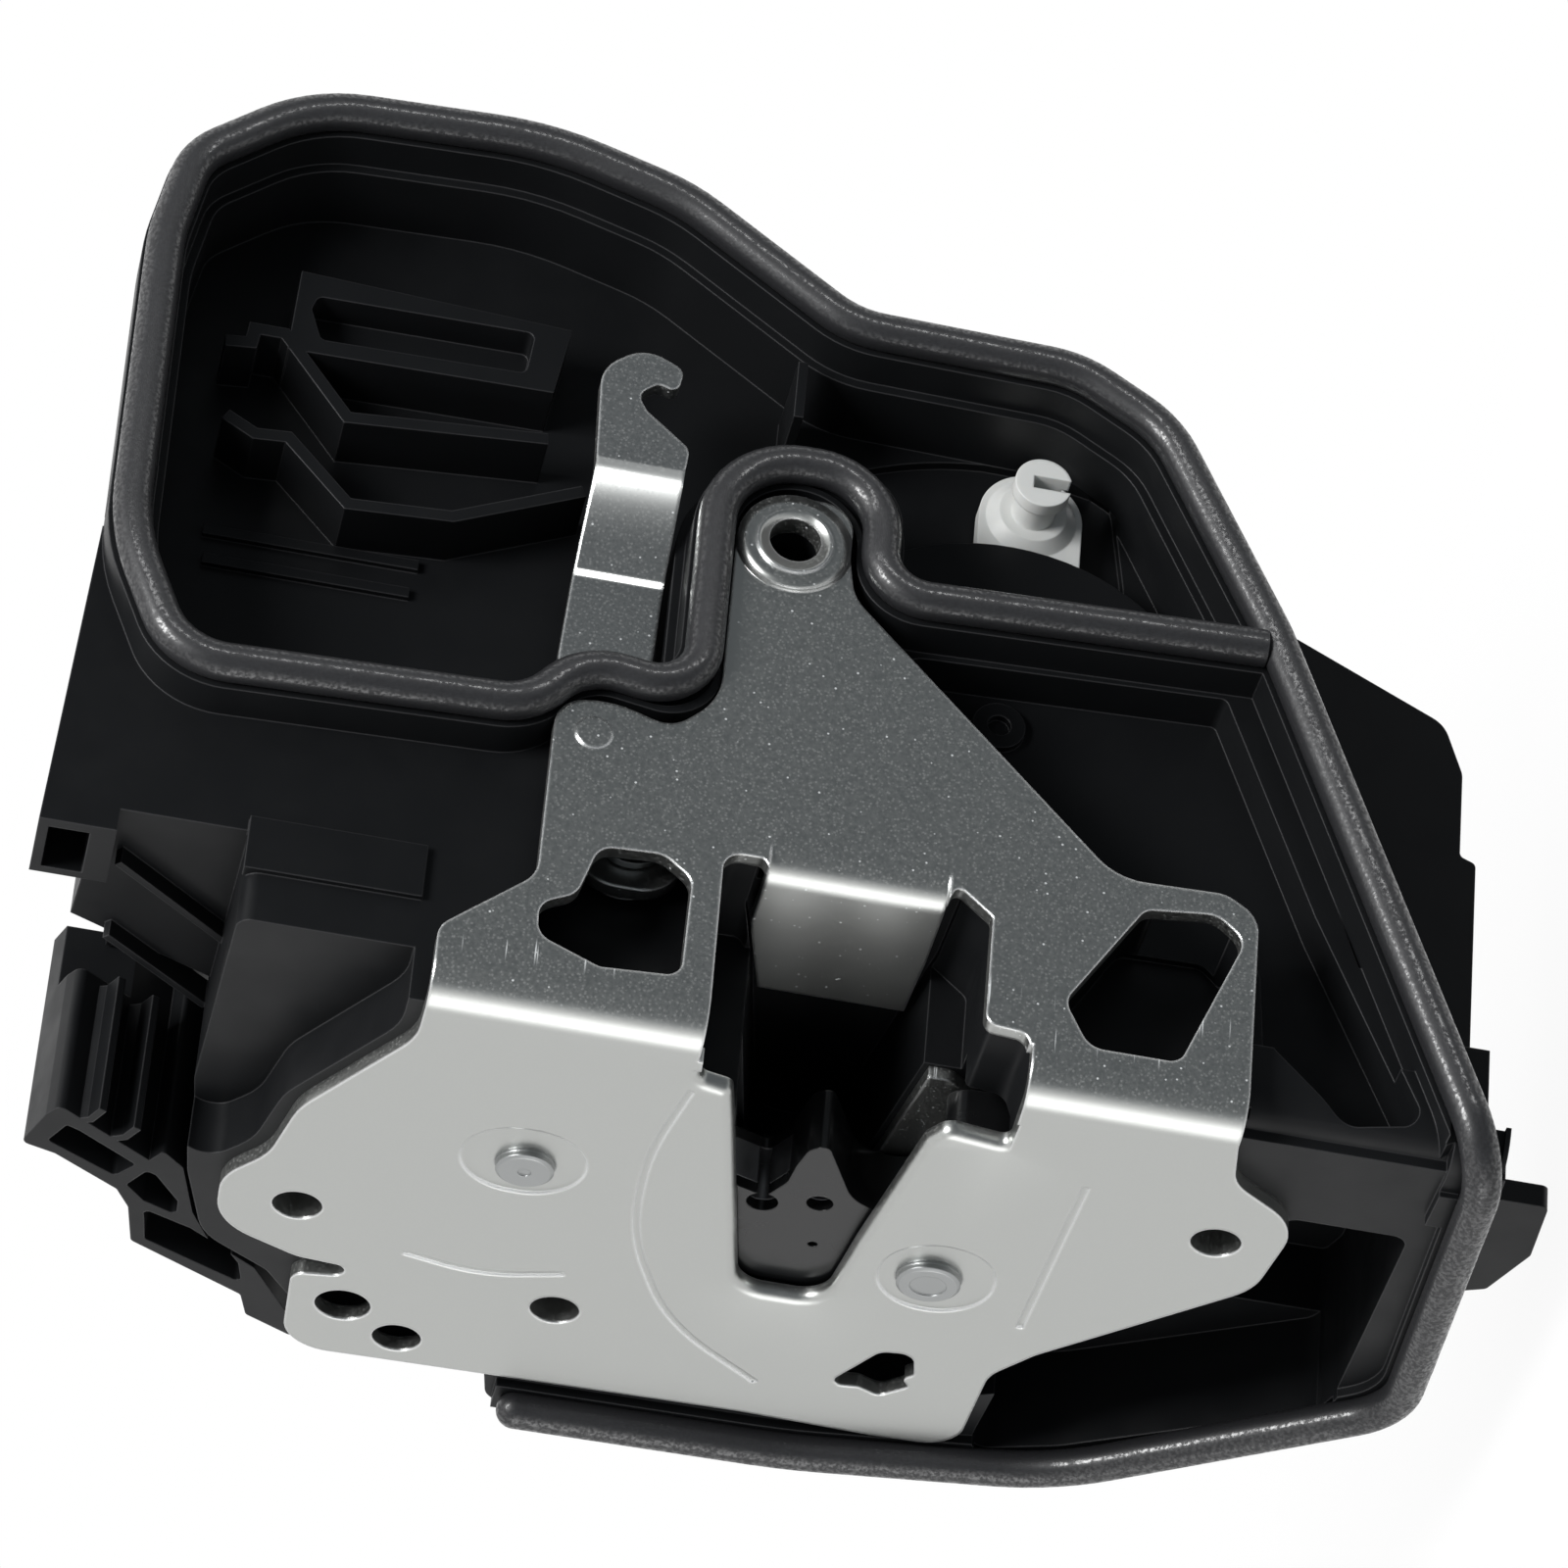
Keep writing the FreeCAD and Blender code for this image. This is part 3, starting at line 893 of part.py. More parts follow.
def make_outer_lever():
    """Lever of the outside handle, and the pin that holds it on the case."""
    shape = [(outer_x - 7, outer_z - 7, 7), (outer_x + 7, outer_z - 7, 7), (outer_x + 9, outer_z + 8, 6),
             (outer_x + 5, outer_z + 26, 5), (outer_x - 5, outer_z + 26, 5), (outer_x - 7, outer_z + 8, 6)]
    y0 = case_back_y + 0.5
    lever = prism("y", shape, y0, y0 + 2)
    lever = lever.cut([rod("y", outer_x, outer_z, 3.0 + shaft_gap, y0 - 1, y0 + 3),
                       rod("y", outer_x, outer_z + 21, 2.0, y0 - 1, y0 + 3)])
    pin = join([rod("y", outer_x, outer_z, 2.5, case_back_y - 1.9, case_back_y + 0.2),
                rod("y", outer_x, outer_z, 4.5, case_back_y, case_back_y + 0.2),
                rod("y", outer_x, outer_z, 3.0, case_back_y + 0.1, y0 + 2.3),
                rod("y", outer_x, outer_z, 4.8, y0 + 2.3, y0 + 3.5)])
    return lever, pin


def make_connector():
    """Plug-in place of the wiring on the case, and its row of pins."""
    y0 = case_back_y
    shell = box(socket_x0, socket_x1, y0, y0 + 12, socket_z0, socket_z1)
    room = box(socket_x0 + 1.6, socket_x1 - 1.6, y0 + 2, y0 + 13, socket_z0 + 1.6, socket_z1 - 1.6)
    latch = box(socket_x1 - 0.2, socket_x1 + 2.0, y0 + 5, y0 + 8, 58.0, 64.0)
    pins = []
    cuts = [room]
    for x, z in pin_places:
        pins.append(rod("y", x, z, 0.6, y0 - 3.5, y0 + 9))
        cuts.append(rod("y", x, z, 0.6, y0 - 1, y0 + 3))
    return join([shell, latch]).cut(cuts).removeSplitter(), Part.makeCompound(pins)


def make_case_screws():
    """The screws that hold the case on the housing."""
    screws = []
    for x, z in case_screw_places:
        head = rod("y", x, z, case_screw_head_r, case_back_y, case_back_y + 2.2)
        shank = rod("y", x, z, case_screw_r, pocket_floor_y + 5, case_back_y + 0.5)
        recess = box(x - 2.0, x + 2.0, case_back_y + 1.0, case_back_y + 3, z - 0.4, z + 0.4)
        cross = box(x - 0.4, x + 0.4, case_back_y + 1.0, case_back_y + 3, z - 2.0, z + 2.0)
        screws.append(join([head, shank]).cut([recess, cross]))
    return Part.makeCompound(screws)


def make_hook_pin():
    """Pivot of the hook lever."""
    y0 = hook_low_y
    return join([rod("y", hook_pivot_x, hook_pivot_z, hook_pin_r, y0 - 1.4, 16.0),
                 rod("y", hook_pivot_x, hook_pivot_z, hook_pin_r + 1.6, y0 - 1.4, y0 - 0.3)])


def make_springs():
    """Torsion springs of catch, pawl and hook lever."""
    catch = make_coil("x", catch_y, catch_z, 6.0, backplate_x1 + 0.3)
    pawl = make_coil("x", pawl_y, pawl_z, 6.0, backplate_x1 + 0.3)
    hook = make_coil("y", hook_pivot_x, hook_pivot_z, 5.5, 10.1)
    return catch, pawl, hook


plate = make_lock_plate()
seal = make_seal()
catch_core, catch_cover = make_catch()
pawl_core, pawl_cover, lug = make_pawl()
bump = make_bump_stop()
catch_switch, catch_plunger = make_switch(67.6, -13.0)
pawl_switch, pawl_plunger = make_switch(56.0, 34.0)
switches = [(catch_switch, catch_plunger), (pawl_switch, pawl_plunger)]
spring_catch, spring_pawl, spring_hook = make_springs()
housing = make_housing(bump, switches, lug)
outer_lever, outer_pin = make_outer_lever()
socket, socket_pins = make_connector()

parts = {
    "lock_plate": plate, "seal": seal, "housing": housing, "cable_duct": make_duct(),
    "catch_core": catch_core, "catch_cover": catch_cover, "pawl_core": pawl_core, "pawl_cover": pawl_cover,
    "catch_pivot": make_pin(catch_y, catch_z, catch_pin_r, catch_pin_neck_r, 2.2),
    "pawl_pivot": make_pin(pawl_y, pawl_z, pawl_pin_r, pawl_pin_neck_r, 0.8),
    "backplate": make_backplate(lug[0], lug[1]), "bump_stop": bump,
    "catch_switch": catch_switch, "catch_plunger": catch_plunger,
    "pawl_switch": pawl_switch, "pawl_plunger": pawl_plunger,
    "hook_lever": make_hook_lever(), "hook_pin": make_hook_pin(), "lock_lever": make_lock_lever(),
    "lever_pin": rod("y", lever_pivot_x, lever_pivot_z, lever_pin_r, 12.6, 24.0),
    "worm_wheel": make_worm_wheel(),
    "wheel_pin": rod("y", wheel_x, wheel_z, wheel_pin_r, 22.0, case_back_y - 1.2),
    "motor_worm": make_worm(), "motor": make_motor(), "actuator_case": make_case(),
    "case_screws": make_case_screws(), "key_coupler": make_key_coupler(),
    "outer_lever": outer_lever, "outer_pin": outer_pin,
    "connector_socket": socket, "connector_pins": socket_pins,
    "catch_spring": spring_catch, "pawl_spring": spring_pawl, "hook_spring": spring_hook,
}

os.makedirs("parts", exist_ok=True)
origin = V(0, upper_screw[0], upper_screw[1])
for name, shape in parts.items():
    shape.translate(V(0, 0, 0).sub(origin))
    shape.exportStep("parts/" + name + ".step")
    print(name, "solids", len(shape.Solids), "valid", shape.isValid(), "volume", round(shape.Volume, 1))
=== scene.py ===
# %% [markdown]
# # A left door latch with its lock drive, dressed for the camera
#
# The solid model already holds every piece of the latch in its true place: the bent steel plate, the black
# housing, the rubber seal, the levers and the drive. This lesson gives those pieces their finishes, adds the
# small forms that a solid model leaves out, and sets up the light of a product photograph.
# All lengths are metres. +Z is up in the door, +X goes into the door, +Y towards the outside of the car.

# %% Load the frame
import math

import bpy
import numpy as np
from mathutils import Matrix, Vector


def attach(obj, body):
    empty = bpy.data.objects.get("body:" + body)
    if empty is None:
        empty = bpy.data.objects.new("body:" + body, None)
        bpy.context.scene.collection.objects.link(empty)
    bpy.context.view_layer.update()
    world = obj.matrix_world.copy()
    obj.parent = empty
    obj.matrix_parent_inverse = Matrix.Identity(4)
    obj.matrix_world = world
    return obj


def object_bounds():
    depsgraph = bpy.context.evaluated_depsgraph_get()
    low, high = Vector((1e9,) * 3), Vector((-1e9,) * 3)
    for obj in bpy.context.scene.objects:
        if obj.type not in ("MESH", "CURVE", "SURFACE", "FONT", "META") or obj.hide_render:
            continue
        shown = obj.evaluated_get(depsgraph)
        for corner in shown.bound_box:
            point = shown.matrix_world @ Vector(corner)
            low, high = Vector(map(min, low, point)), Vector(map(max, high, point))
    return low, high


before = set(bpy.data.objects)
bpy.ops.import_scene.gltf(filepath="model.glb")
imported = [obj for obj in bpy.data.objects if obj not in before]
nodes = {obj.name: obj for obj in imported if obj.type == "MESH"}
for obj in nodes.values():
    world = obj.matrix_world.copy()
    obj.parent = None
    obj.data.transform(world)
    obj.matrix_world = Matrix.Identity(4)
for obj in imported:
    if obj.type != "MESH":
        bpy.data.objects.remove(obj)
cad_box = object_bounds()
mm = 0.001
print("nodes loaded:", len(nodes))

# %% [markdown]
# ## Edges that catch the light
#
# The CAD meshes are loose triangles. A small node group first merges the points that coincide, and a second
# one shades smooth wherever two faces meet at less than a set angle, so that curved walls lose their facets
# and true corners stay crisp. The small round that every pressed or moulded edge has comes later, from the
# Bevel node in each finish.

# %% Merge and smooth
SMOOTH_ANGLE = math.radians(32)
MERGE_DISTANCE = 0.004 * mm


def mesh_group(name):
    """Empty node group that takes a mesh and gives one back, with its first and last node."""
    group = bpy.data.node_groups.new(name, "GeometryNodeTree")
    for way in ("INPUT", "OUTPUT"):
        group.interface.new_socket("Geometry", in_out=way, socket_type="NodeSocketGeometry")
    return group, group.nodes.new("NodeGroupInput"), group.nodes.new("NodeGroupOutput")


def merge_group():
    """Node group that merges the points of a mesh that lie closer than MERGE_DISTANCE."""
    group, start, end = mesh_group("merge_points")
    merge = group.nodes.new("GeometryNodeMergeByDistance")
    merge.inputs["Distance"].default_value = MERGE_DISTANCE
    group.links.new(start.outputs[0], merge.inputs["Geometry"])
    group.links.new(merge.outputs[0], end.inputs[0])
    return group


def smooth_group():
    """Node group that shades every face smooth and every edge sharper than SMOOTH_ANGLE sharp."""
    group, start, end = mesh_group("smooth_by_angle")
    faces = group.nodes.new("GeometryNodeSetShadeSmooth")
    faces.domain = "FACE"
    faces.inputs["Shade Smooth"].default_value = True
    angle = group.nodes.new("GeometryNodeInputMeshEdgeAngle")
    compare = group.nodes.new("FunctionNodeCompare")
    compare.operation = "GREATER_THAN"
    compare.inputs["B"].default_value = SMOOTH_ANGLE
    edges = group.nodes.new("GeometryNodeSetShadeSmooth")
    edges.domain = "EDGE"
    edges.inputs["Shade Smooth"].default_value = False
    link = group.links.new
    link(start.outputs[0], faces.inputs["Geometry"])
    link(angle.outputs["Unsigned Angle"], compare.inputs["A"])
    link(faces.outputs[0], edges.inputs["Geometry"])
    link(compare.outputs[0], edges.inputs["Selection"])
    link(edges.outputs[0], end.inputs[0])
    return group


merge_points = merge_group()
smooth_by_angle = smooth_group()


def finish_edges(obj):
    """Merges obj's points and shades it smooth by angle."""
    for name, group in (("merge", merge_points), ("smooth", smooth_by_angle)):
        modifier = obj.modifiers.new(name, "NODES")
        modifier.node_group = group


for node in nodes.values():
    finish_edges(node)
print("edges finished on", len(nodes), "nodes")

# %% [markdown]
# ## A small kit for finishes
#
# Every finish here is one Principled shader whose colour, roughness and height are steered by patterns in
# the piece's own space. A finish is a tree of nodes, and each node takes several lines to make and join, so
# short helpers come first. One starts a material, and one sets a socket or joins another node to it.

# %% Start a finish


def new_finish(name, colour, metallic, roughness):
    """Material with one Principled shader, and its node tree and shader for further links."""
    material = bpy.data.materials.new(name)
    material.use_nodes = True
    tree = material.node_tree
    shader = tree.nodes["Principled BSDF"]
    shader.inputs["Base Color"].default_value = (*colour, 1)
    shader.inputs["Metallic"].default_value = metallic
    shader.inputs["Roughness"].default_value = roughness
    return material, tree, shader


def feed(tree, socket, value):
    """Joins another node's output to a socket, or sets the socket to numbers."""
    if isinstance(value, bpy.types.NodeSocket):
        tree.links.new(value, socket)
    else:
        socket.default_value = value


# %% [markdown]
# Arithmetic comes next. Each helper takes values and gives one back, so that a finish reads like a formula.
# The first does most of the work: it turns a distance or a noise into a share between two numbers.

# %% Arithmetic on values


def spread(tree, value, low, high, start=0.3, end=0.7, smooth=False):
    """Maps value from the range start..end to low..high, in a straight line or with smooth ends."""
    ramp = tree.nodes.new("ShaderNodeMapRange")
    ramp.interpolation_type = "SMOOTHSTEP" if smooth else "LINEAR"
    ramp.inputs["From Min"].default_value = start
    ramp.inputs["From Max"].default_value = end
    ramp.inputs["To Min"].default_value = low
    ramp.inputs["To Max"].default_value = high
    tree.links.new(value, ramp.inputs["Value"])
    return ramp.outputs["Result"]


def maths(tree, operation, a, b):
    """One step of arithmetic on a value a and a value or number b."""
    node = tree.nodes.new("ShaderNodeMath")
    node.operation = operation
    feed(tree, node.inputs[0], a)
    feed(tree, node.inputs[1], b)
    return node.outputs[0]


def vector_maths(tree, operation, a, b=None):
    """One step of arithmetic on a vector a and, where it needs one, a vector or three numbers b."""
    node = tree.nodes.new("ShaderNodeVectorMath")
    node.operation = operation
    feed(tree, node.inputs[0], a)
    if b is not None:
        feed(tree, node.inputs[1], b)
    return node.outputs["Value" if operation in ("DOT_PRODUCT", "LENGTH") else "Vector"]


def add(tree, a, b, scale=1.0):
    """a + scale x b."""
    node = tree.nodes.new("ShaderNodeMath")
    node.operation = "MULTIPLY_ADD"
    for socket, value in zip(node.inputs, (b, scale, a)):
        feed(tree, socket, value)
    return node.outputs[0]


def tint(tree, value, dark, light):
    """Blends by value between two colours, each of them three numbers or another node's output."""
    mix = tree.nodes.new("ShaderNodeMix")
    mix.data_type = "RGBA"
    for name, colour in (("A", dark), ("B", light)):
        feed(tree, mix.inputs[name], (*colour, 1) if isinstance(colour, tuple) else colour)
    tree.links.new(value, mix.inputs["Factor"])
    return mix.outputs["Result"]


# %% [markdown]
# Patterns sit in the piece's own space and have a real size, so a grain is as large on the plate as on a
# small lever, and it stays on its piece when the piece turns.

# %% Patterns


def placed(tree, stretch=(1, 1, 1), seed=(0, 0, 0)):
    """Object coordinates, longer along a stretch below 1 and moved by seed."""
    coords = tree.nodes.new("ShaderNodeTexCoord")
    mapping = tree.nodes.new("ShaderNodeMapping")
    mapping.inputs["Scale"].default_value = stretch
    mapping.inputs["Location"].default_value = seed
    tree.links.new(coords.outputs["Object"], mapping.inputs["Vector"])
    return mapping.outputs[0]


def noise(tree, size, detail=2, seed=(0, 0, 0)):
    """Noise whose blobs are about size metres across."""
    texture = tree.nodes.new("ShaderNodeTexNoise")
    texture.inputs["Scale"].default_value = 1 / size
    texture.inputs["Detail"].default_value = detail
    tree.links.new(placed(tree, seed=seed), texture.inputs["Vector"])
    return texture.outputs["Fac"]


def cells(tree, size, stretch=(1, 1, 1)):
    """Voronoi cells about size metres across."""
    texture = tree.nodes.new("ShaderNodeTexVoronoi")
    texture.inputs["Scale"].default_value = 1 / size
    tree.links.new(placed(tree, stretch), texture.inputs["Vector"])
    return texture


def along(tree, axis):
    """Place along one axis of the piece's own space, in metres."""
    coords = tree.nodes.new("ShaderNodeTexCoord")
    split = tree.nodes.new("ShaderNodeSeparateXYZ")
    tree.links.new(coords.outputs["Object"], split.inputs[0])
    return split.outputs[axis]


# %% [markdown]
# No pressed or moulded edge is knife sharp. A Bevel node turns the normal near an edge as if it had a small
# round, at no cost in faces. Where the turned normal leaves the true one, a paler colour is painted on as a
# highlight. A Bump node then tilts the normal once more by a fine relief.

# %% Edges and relief
BEVEL_SAMPLES = 6
GLOSS_DOWN = 0.06
GLOSS_UP = 0.08


def rounded_normal(tree, radius):
    """Normal as if every edge were rounded to a radius."""
    node = tree.nodes.new("ShaderNodeBevel")
    node.samples = BEVEL_SAMPLES
    node.inputs["Radius"].default_value = radius
    return node.outputs[0]


# Painted highlight: this mask marks the edges, where a paler colour is painted on in place of the light that
# edges catch.
def painted_edge_highlight(tree, edge, start, end):
    """1 where the cosine between the rounded normal and the true one is below start, 0 above end."""
    true = tree.nodes.new("ShaderNodeNewGeometry").outputs["Normal"]
    return spread(tree, vector_maths(tree, "DOT_PRODUCT", edge, true), 1, 0, start, end)


def relief(tree, shader, height, depth, strength=1.0, normal=None):
    """Tilts the shader's normal by a height of depth metres, starting from a normal if one is given."""
    node = tree.nodes.new("ShaderNodeBump")
    node.inputs["Distance"].default_value = depth
    node.inputs["Strength"].default_value = strength
    tree.links.new(height, node.inputs["Height"])
    if normal:
        tree.links.new(normal, node.inputs["Normal"])
    tree.links.new(node.outputs[0], shader.inputs["Normal"])
    return node.outputs[0]


def uneven_gloss(tree, shader, roughness, patch):
    """Lets the roughness wander from GLOSS_DOWN below its value to GLOSS_UP above it, by a noise patch."""
    gloss = spread(tree, patch, roughness - GLOSS_DOWN, roughness + GLOSS_UP)
    tree.links.new(gloss, shader.inputs["Roughness"])


# %% [markdown]
# ## Steel
#
# The plate is stamped from zinc-coated sheet. Up close the coat is a skin of fine grains that scatter a
# little white light, so they stand out as dots where the metal mirrors something dark. Some are bloomed to
# white specks. The distance to the middle of a Voronoi cell draws a grain, and the cell's random colour picks
# the ones that turn white. The bending tool leaves short white draw lines beside the bend: the same cells,
# stretched along X. The shut face is pressed flat and keeps its grains, but no specks and no lines.

# %% Zinc coated sheet
# FADE, and the fade of the painted edge highlight, are the two values between which a mark or that highlight
# fades, START and END the places along X between which marks begin or stop. SIZE is a radius in cells, SHARE
# the part of all cells that shows a mark, and SCATTER how much less metallic a mark is than the metal.
GRAIN = 0.5 * mm
GRAIN_FADE = (0.10, 0.42)
GRAIN_SCATTER = 0.22
GRAIN_DEPTH = 0.004 * mm
GRAIN_STRENGTH = 0.35
MOTTLE = 0.4 * mm
MOTTLE_SEED = (0.3, 0.1, 0.2)
MOTTLE_SCATTER = 0.10
SPECK_CELL = 1.4 * mm
SPECK_SIZE = 0.13
SPECK_SHARE = 0.4
SPECK_SCATTER = 0.75
SPECKS_START = (1.0 * mm, 3.0 * mm)
DRAW_CELL = 0.28 * mm
DRAW_STRETCH = (0.045, 1, 1)
DRAW_SIZE = 0.45
DRAW_SHARE = 0.05
DRAW_START = (5 * mm, 7 * mm)
DRAW_END = (13 * mm, 15 * mm)
SOFT_EDGE = 0.6
ZINC_ROUND = 0.6 * mm
# Painted edge highlight: the cosines between which it fades in, and the near-white colour painted along the
# edges.
ZINC_HIGHLIGHT_FADE = (0.74, 0.985)
ZINC_EDGE_HIGHLIGHT = (0.92, 0.93, 0.93)
BLOOM_WHITE = (0.80, 0.82, 0.82)


def chosen_cells(tree, texture, size, share):
    """1 within a distance size, in cells, of the middle of a random share of the cells, 0 elsewhere."""
    near = spread(tree, texture.outputs["Distance"], 1, 0, SOFT_EDGE * size, size)
    split = tree.nodes.new("ShaderNodeSeparateColor")
    tree.links.new(texture.outputs["Color"], split.inputs[0])
    return maths(tree, "MULTIPLY", near, maths(tree, "LESS_THAN", split.outputs[0], share))


def draw_lines(tree):
    """Stretched cells in the band beside the bend that starts over DRAW_START and ends over DRAW_END."""
    lines = chosen_cells(tree, cells(tree, DRAW_CELL, DRAW_STRETCH), DRAW_SIZE, DRAW_SHARE)
    ending = spread(tree, along(tree, "X"), 1, 0, *DRAW_END)
    band = maths(tree, "MULTIPLY", ending, spread(tree, along(tree, "X"), 0, 1, *DRAW_START))
    return maths(tree, "MULTIPLY", lines, band)


def zinc_coat(name, colour, roughness, lined=False, tilt=None):
    """Metal made paler and less metallic by grains and specks; tilt gives a vector that leans the normal."""
    material, tree, shader = new_finish(name, colour, 1.0, roughness)
    grains = spread(tree, cells(tree, GRAIN).outputs["Distance"], 1, 0, *GRAIN_FADE)
    specks = chosen_cells(tree, cells(tree, SPECK_CELL), SPECK_SIZE, SPECK_SHARE)
    if lined:
        specks = maths(tree, "MAXIMUM", specks, draw_lines(tree))
    specks = maths(tree, "MULTIPLY", specks, spread(tree, along(tree, "X"), 0, 1, *SPECKS_START))
    edge = rounded_normal(tree, ZINC_ROUND)
    # Painted highlight: the edges are tinted towards a near-white colour.
    painted_highlight = tint(tree, painted_edge_highlight(tree, edge, *ZINC_HIGHLIGHT_FADE), colour, ZINC_EDGE_HIGHLIGHT)
    tree.links.new(tint(tree, specks, painted_highlight, BLOOM_WHITE), shader.inputs["Base Color"])
    mottle = spread(tree, noise(tree, MOTTLE, detail=3, seed=MOTTLE_SEED), 0, MOTTLE_SCATTER)
    scatter = add(tree, maths(tree, "MULTIPLY", grains, GRAIN_SCATTER), mottle)
    scatter = maths(tree, "MAXIMUM", scatter, maths(tree, "MULTIPLY", specks, SPECK_SCATTER))
    tree.links.new(spread(tree, scatter, 1, 0, 0, 1), shader.inputs["Metallic"])
    if tilt:
        edge = vector_maths(tree, "NORMALIZE", vector_maths(tree, "ADD", edge, tilt(tree)))
    relief(tree, shader, grains, GRAIN_DEPTH, GRAIN_STRENGTH, edge)
    return material


# %% [markdown]
# Two pressed forms need more than the solid model gives them: the bright bands at the hook lever's bends, and
# the soft edge and bowl of the coined disc on the plate's tab. A leaning normal draws them. A table gives the
# lean at places in millimetres, along the lever or out from the middle of the hole, and a Float Curve node
# reads the table off. That node holds values from 0 to 1 only, so a lean is stored as a half plus its share
# of LEAN_RANGE.

# %% Where pressed forms lean
LEAN_RANGE = 5.0
LEVER_LEANS = [(62.0, 0), (65.4, 0), (65.8, 0.5), (66.4, 0.5), (66.8, 0), (70.0, 0), (74.0, 0.2),
               (76.5, 0.36), (78.2, 0.52), (79.2, 0.52), (79.6, 0), (84.0, 0)]
LEVER_BACKWARD = -0.3
# The middle of the tab's hole, in metres, and the plane that the tab lies in.
TAB_HOLE = (0.0702, -0.051, -0.0447)
TAB_PLANE = (1.0, 0.0, 1.0)
TAB_LEANS = [(0, 0), (3.0, 0), (3.1, -1.3), (4.0, -0.9), (4.6, 0), (5.4, 0), (6.4, 0.9), (6.9, 1.3),
             (7.2, 0), (9.0, 0)]


def lean_curve(tree, place, table):
    """Value read off a table of (millimetres, value) pairs at a place in metres, straight between them."""
    first, last = table[0][0], table[-1][0]
    node = tree.nodes.new("ShaderNodeFloatCurve")
    curve = node.mapping.curves[0]
    for x, value in table[1:-1]:
        curve.points.new((x - first) / (last - first), 0.5 + value / LEAN_RANGE)
    curve.points[0].location = (0, 0.5 + table[0][1] / LEAN_RANGE)
    curve.points[len(curve.points) - 1].location = (1, 0.5 + table[-1][1] / LEAN_RANGE)
    for point in curve.points:
        point.handle_type = "VECTOR"
    node.mapping.update()
    tree.links.new(spread(tree, place, 0, 1, first * mm, last * mm), node.inputs["Value"])
    return maths(tree, "MULTIPLY", maths(tree, "SUBTRACT", node.outputs[0], 0.5), LEAN_RANGE)


def lever_bends(tree):
    """Lean up and back along the hook lever: sharp at its low bend, growing in a sweep to its high one."""
    push = lean_curve(tree, along(tree, "X"), LEVER_LEANS)
    lean = tree.nodes.new("ShaderNodeCombineXYZ")
    tree.links.new(maths(tree, "MULTIPLY", push, LEVER_BACKWARD), lean.inputs["X"])
    tree.links.new(push, lean.inputs["Z"])
    return lean.outputs[0]


def tab_coining(tree):
    """Lean out from the tab's hole at the rim of the coined disc, and in on the bowl round the hole."""
    coords = tree.nodes.new("ShaderNodeTexCoord").outputs["Object"]
    flat = vector_maths(tree, "MULTIPLY", vector_maths(tree, "SUBTRACT", coords, TAB_HOLE), TAB_PLANE)
    lean = lean_curve(tree, vector_maths(tree, "LENGTH", flat), TAB_LEANS)
    return vector_maths(tree, "MULTIPLY", vector_maths(tree, "NORMALIZE", flat), lean)


# %% [markdown]
# The pins, springs, screws and contacts are turned or drawn, and too small for the grains of a coat to show.
# An even metal with faint blotches and a fine relief is enough.

# %% Turned and drawn steel
BLOTCH = 2.5 * mm
TURNED_GRAIN = 0.35 * mm
TURNED_DEPTH = 0.006 * mm
TURNED_ROUND = 0.2 * mm


def turned_steel(name, colour, roughness):
    """Turned or drawn steel: an even metal with faint blotches."""
    material, tree, shader = new_finish(name, colour, 1.0, roughness)
    uneven_gloss(tree, shader, roughness, noise(tree, BLOTCH, detail=3))
    edge = rounded_normal(tree, TURNED_ROUND)
    relief(tree, shader, noise(tree, TURNED_GRAIN), TURNED_DEPTH, strength=0.5, normal=edge)
    return material


# %% [markdown]
# The plate and the levers share the zinc coat. The other metals differ in colour and in how rough they are.

# %% Make the metals
plate_steel = zinc_coat("plate_steel", (0.49, 0.50, 0.485), 0.30, lined=True, tilt=tab_coining)
lever_steel = zinc_coat("lever_steel", (0.49, 0.50, 0.49), 0.30, tilt=lever_bends)
pin_steel = turned_steel("pin_steel", (0.36, 0.37, 0.37), 0.34)
fork_steel = turned_steel("fork_steel", (0.30, 0.30, 0.31), 0.38)
screw_steel = turned_steel("screw_steel", (0.45, 0.45, 0.46), 0.35)
spring_steel = turned_steel("spring_steel", (0.42, 0.42, 0.42), 0.30)
motor_can = turned_steel("motor_can", (0.52, 0.53, 0.54), 0.32)
contact_tin = turned_steel("contact_tin", (0.66, 0.66, 0.62), 0.25)
worm_brass = turned_steel("worm_brass", (0.72, 0.52, 0.24), 0.28)
METALS = [plate_steel, lever_steel, pin_steel, fork_steel, screw_steel, spring_steel, motor_can, contact_tin,
          worm_brass]
print("metals made:", len(METALS))

# %% [markdown]
# ## Plastic and rubber
#
# The mouldings are black, so their own colour hardly shows: what the eye reads is the soft sheen of the
# surroundings on a fine spark-eroded texture, and a paler grey painted along the edges as a highlight.

# %% Mouldings
GLOSS_PATCH = 6 * mm
MOULD_GRAIN = 0.35 * mm
MOULD_ROUND = 0.3 * mm
# The cosines between which the painted edge highlight of the mouldings fades in.
MOULD_HIGHLIGHT_FADE = (0.80, 0.99)


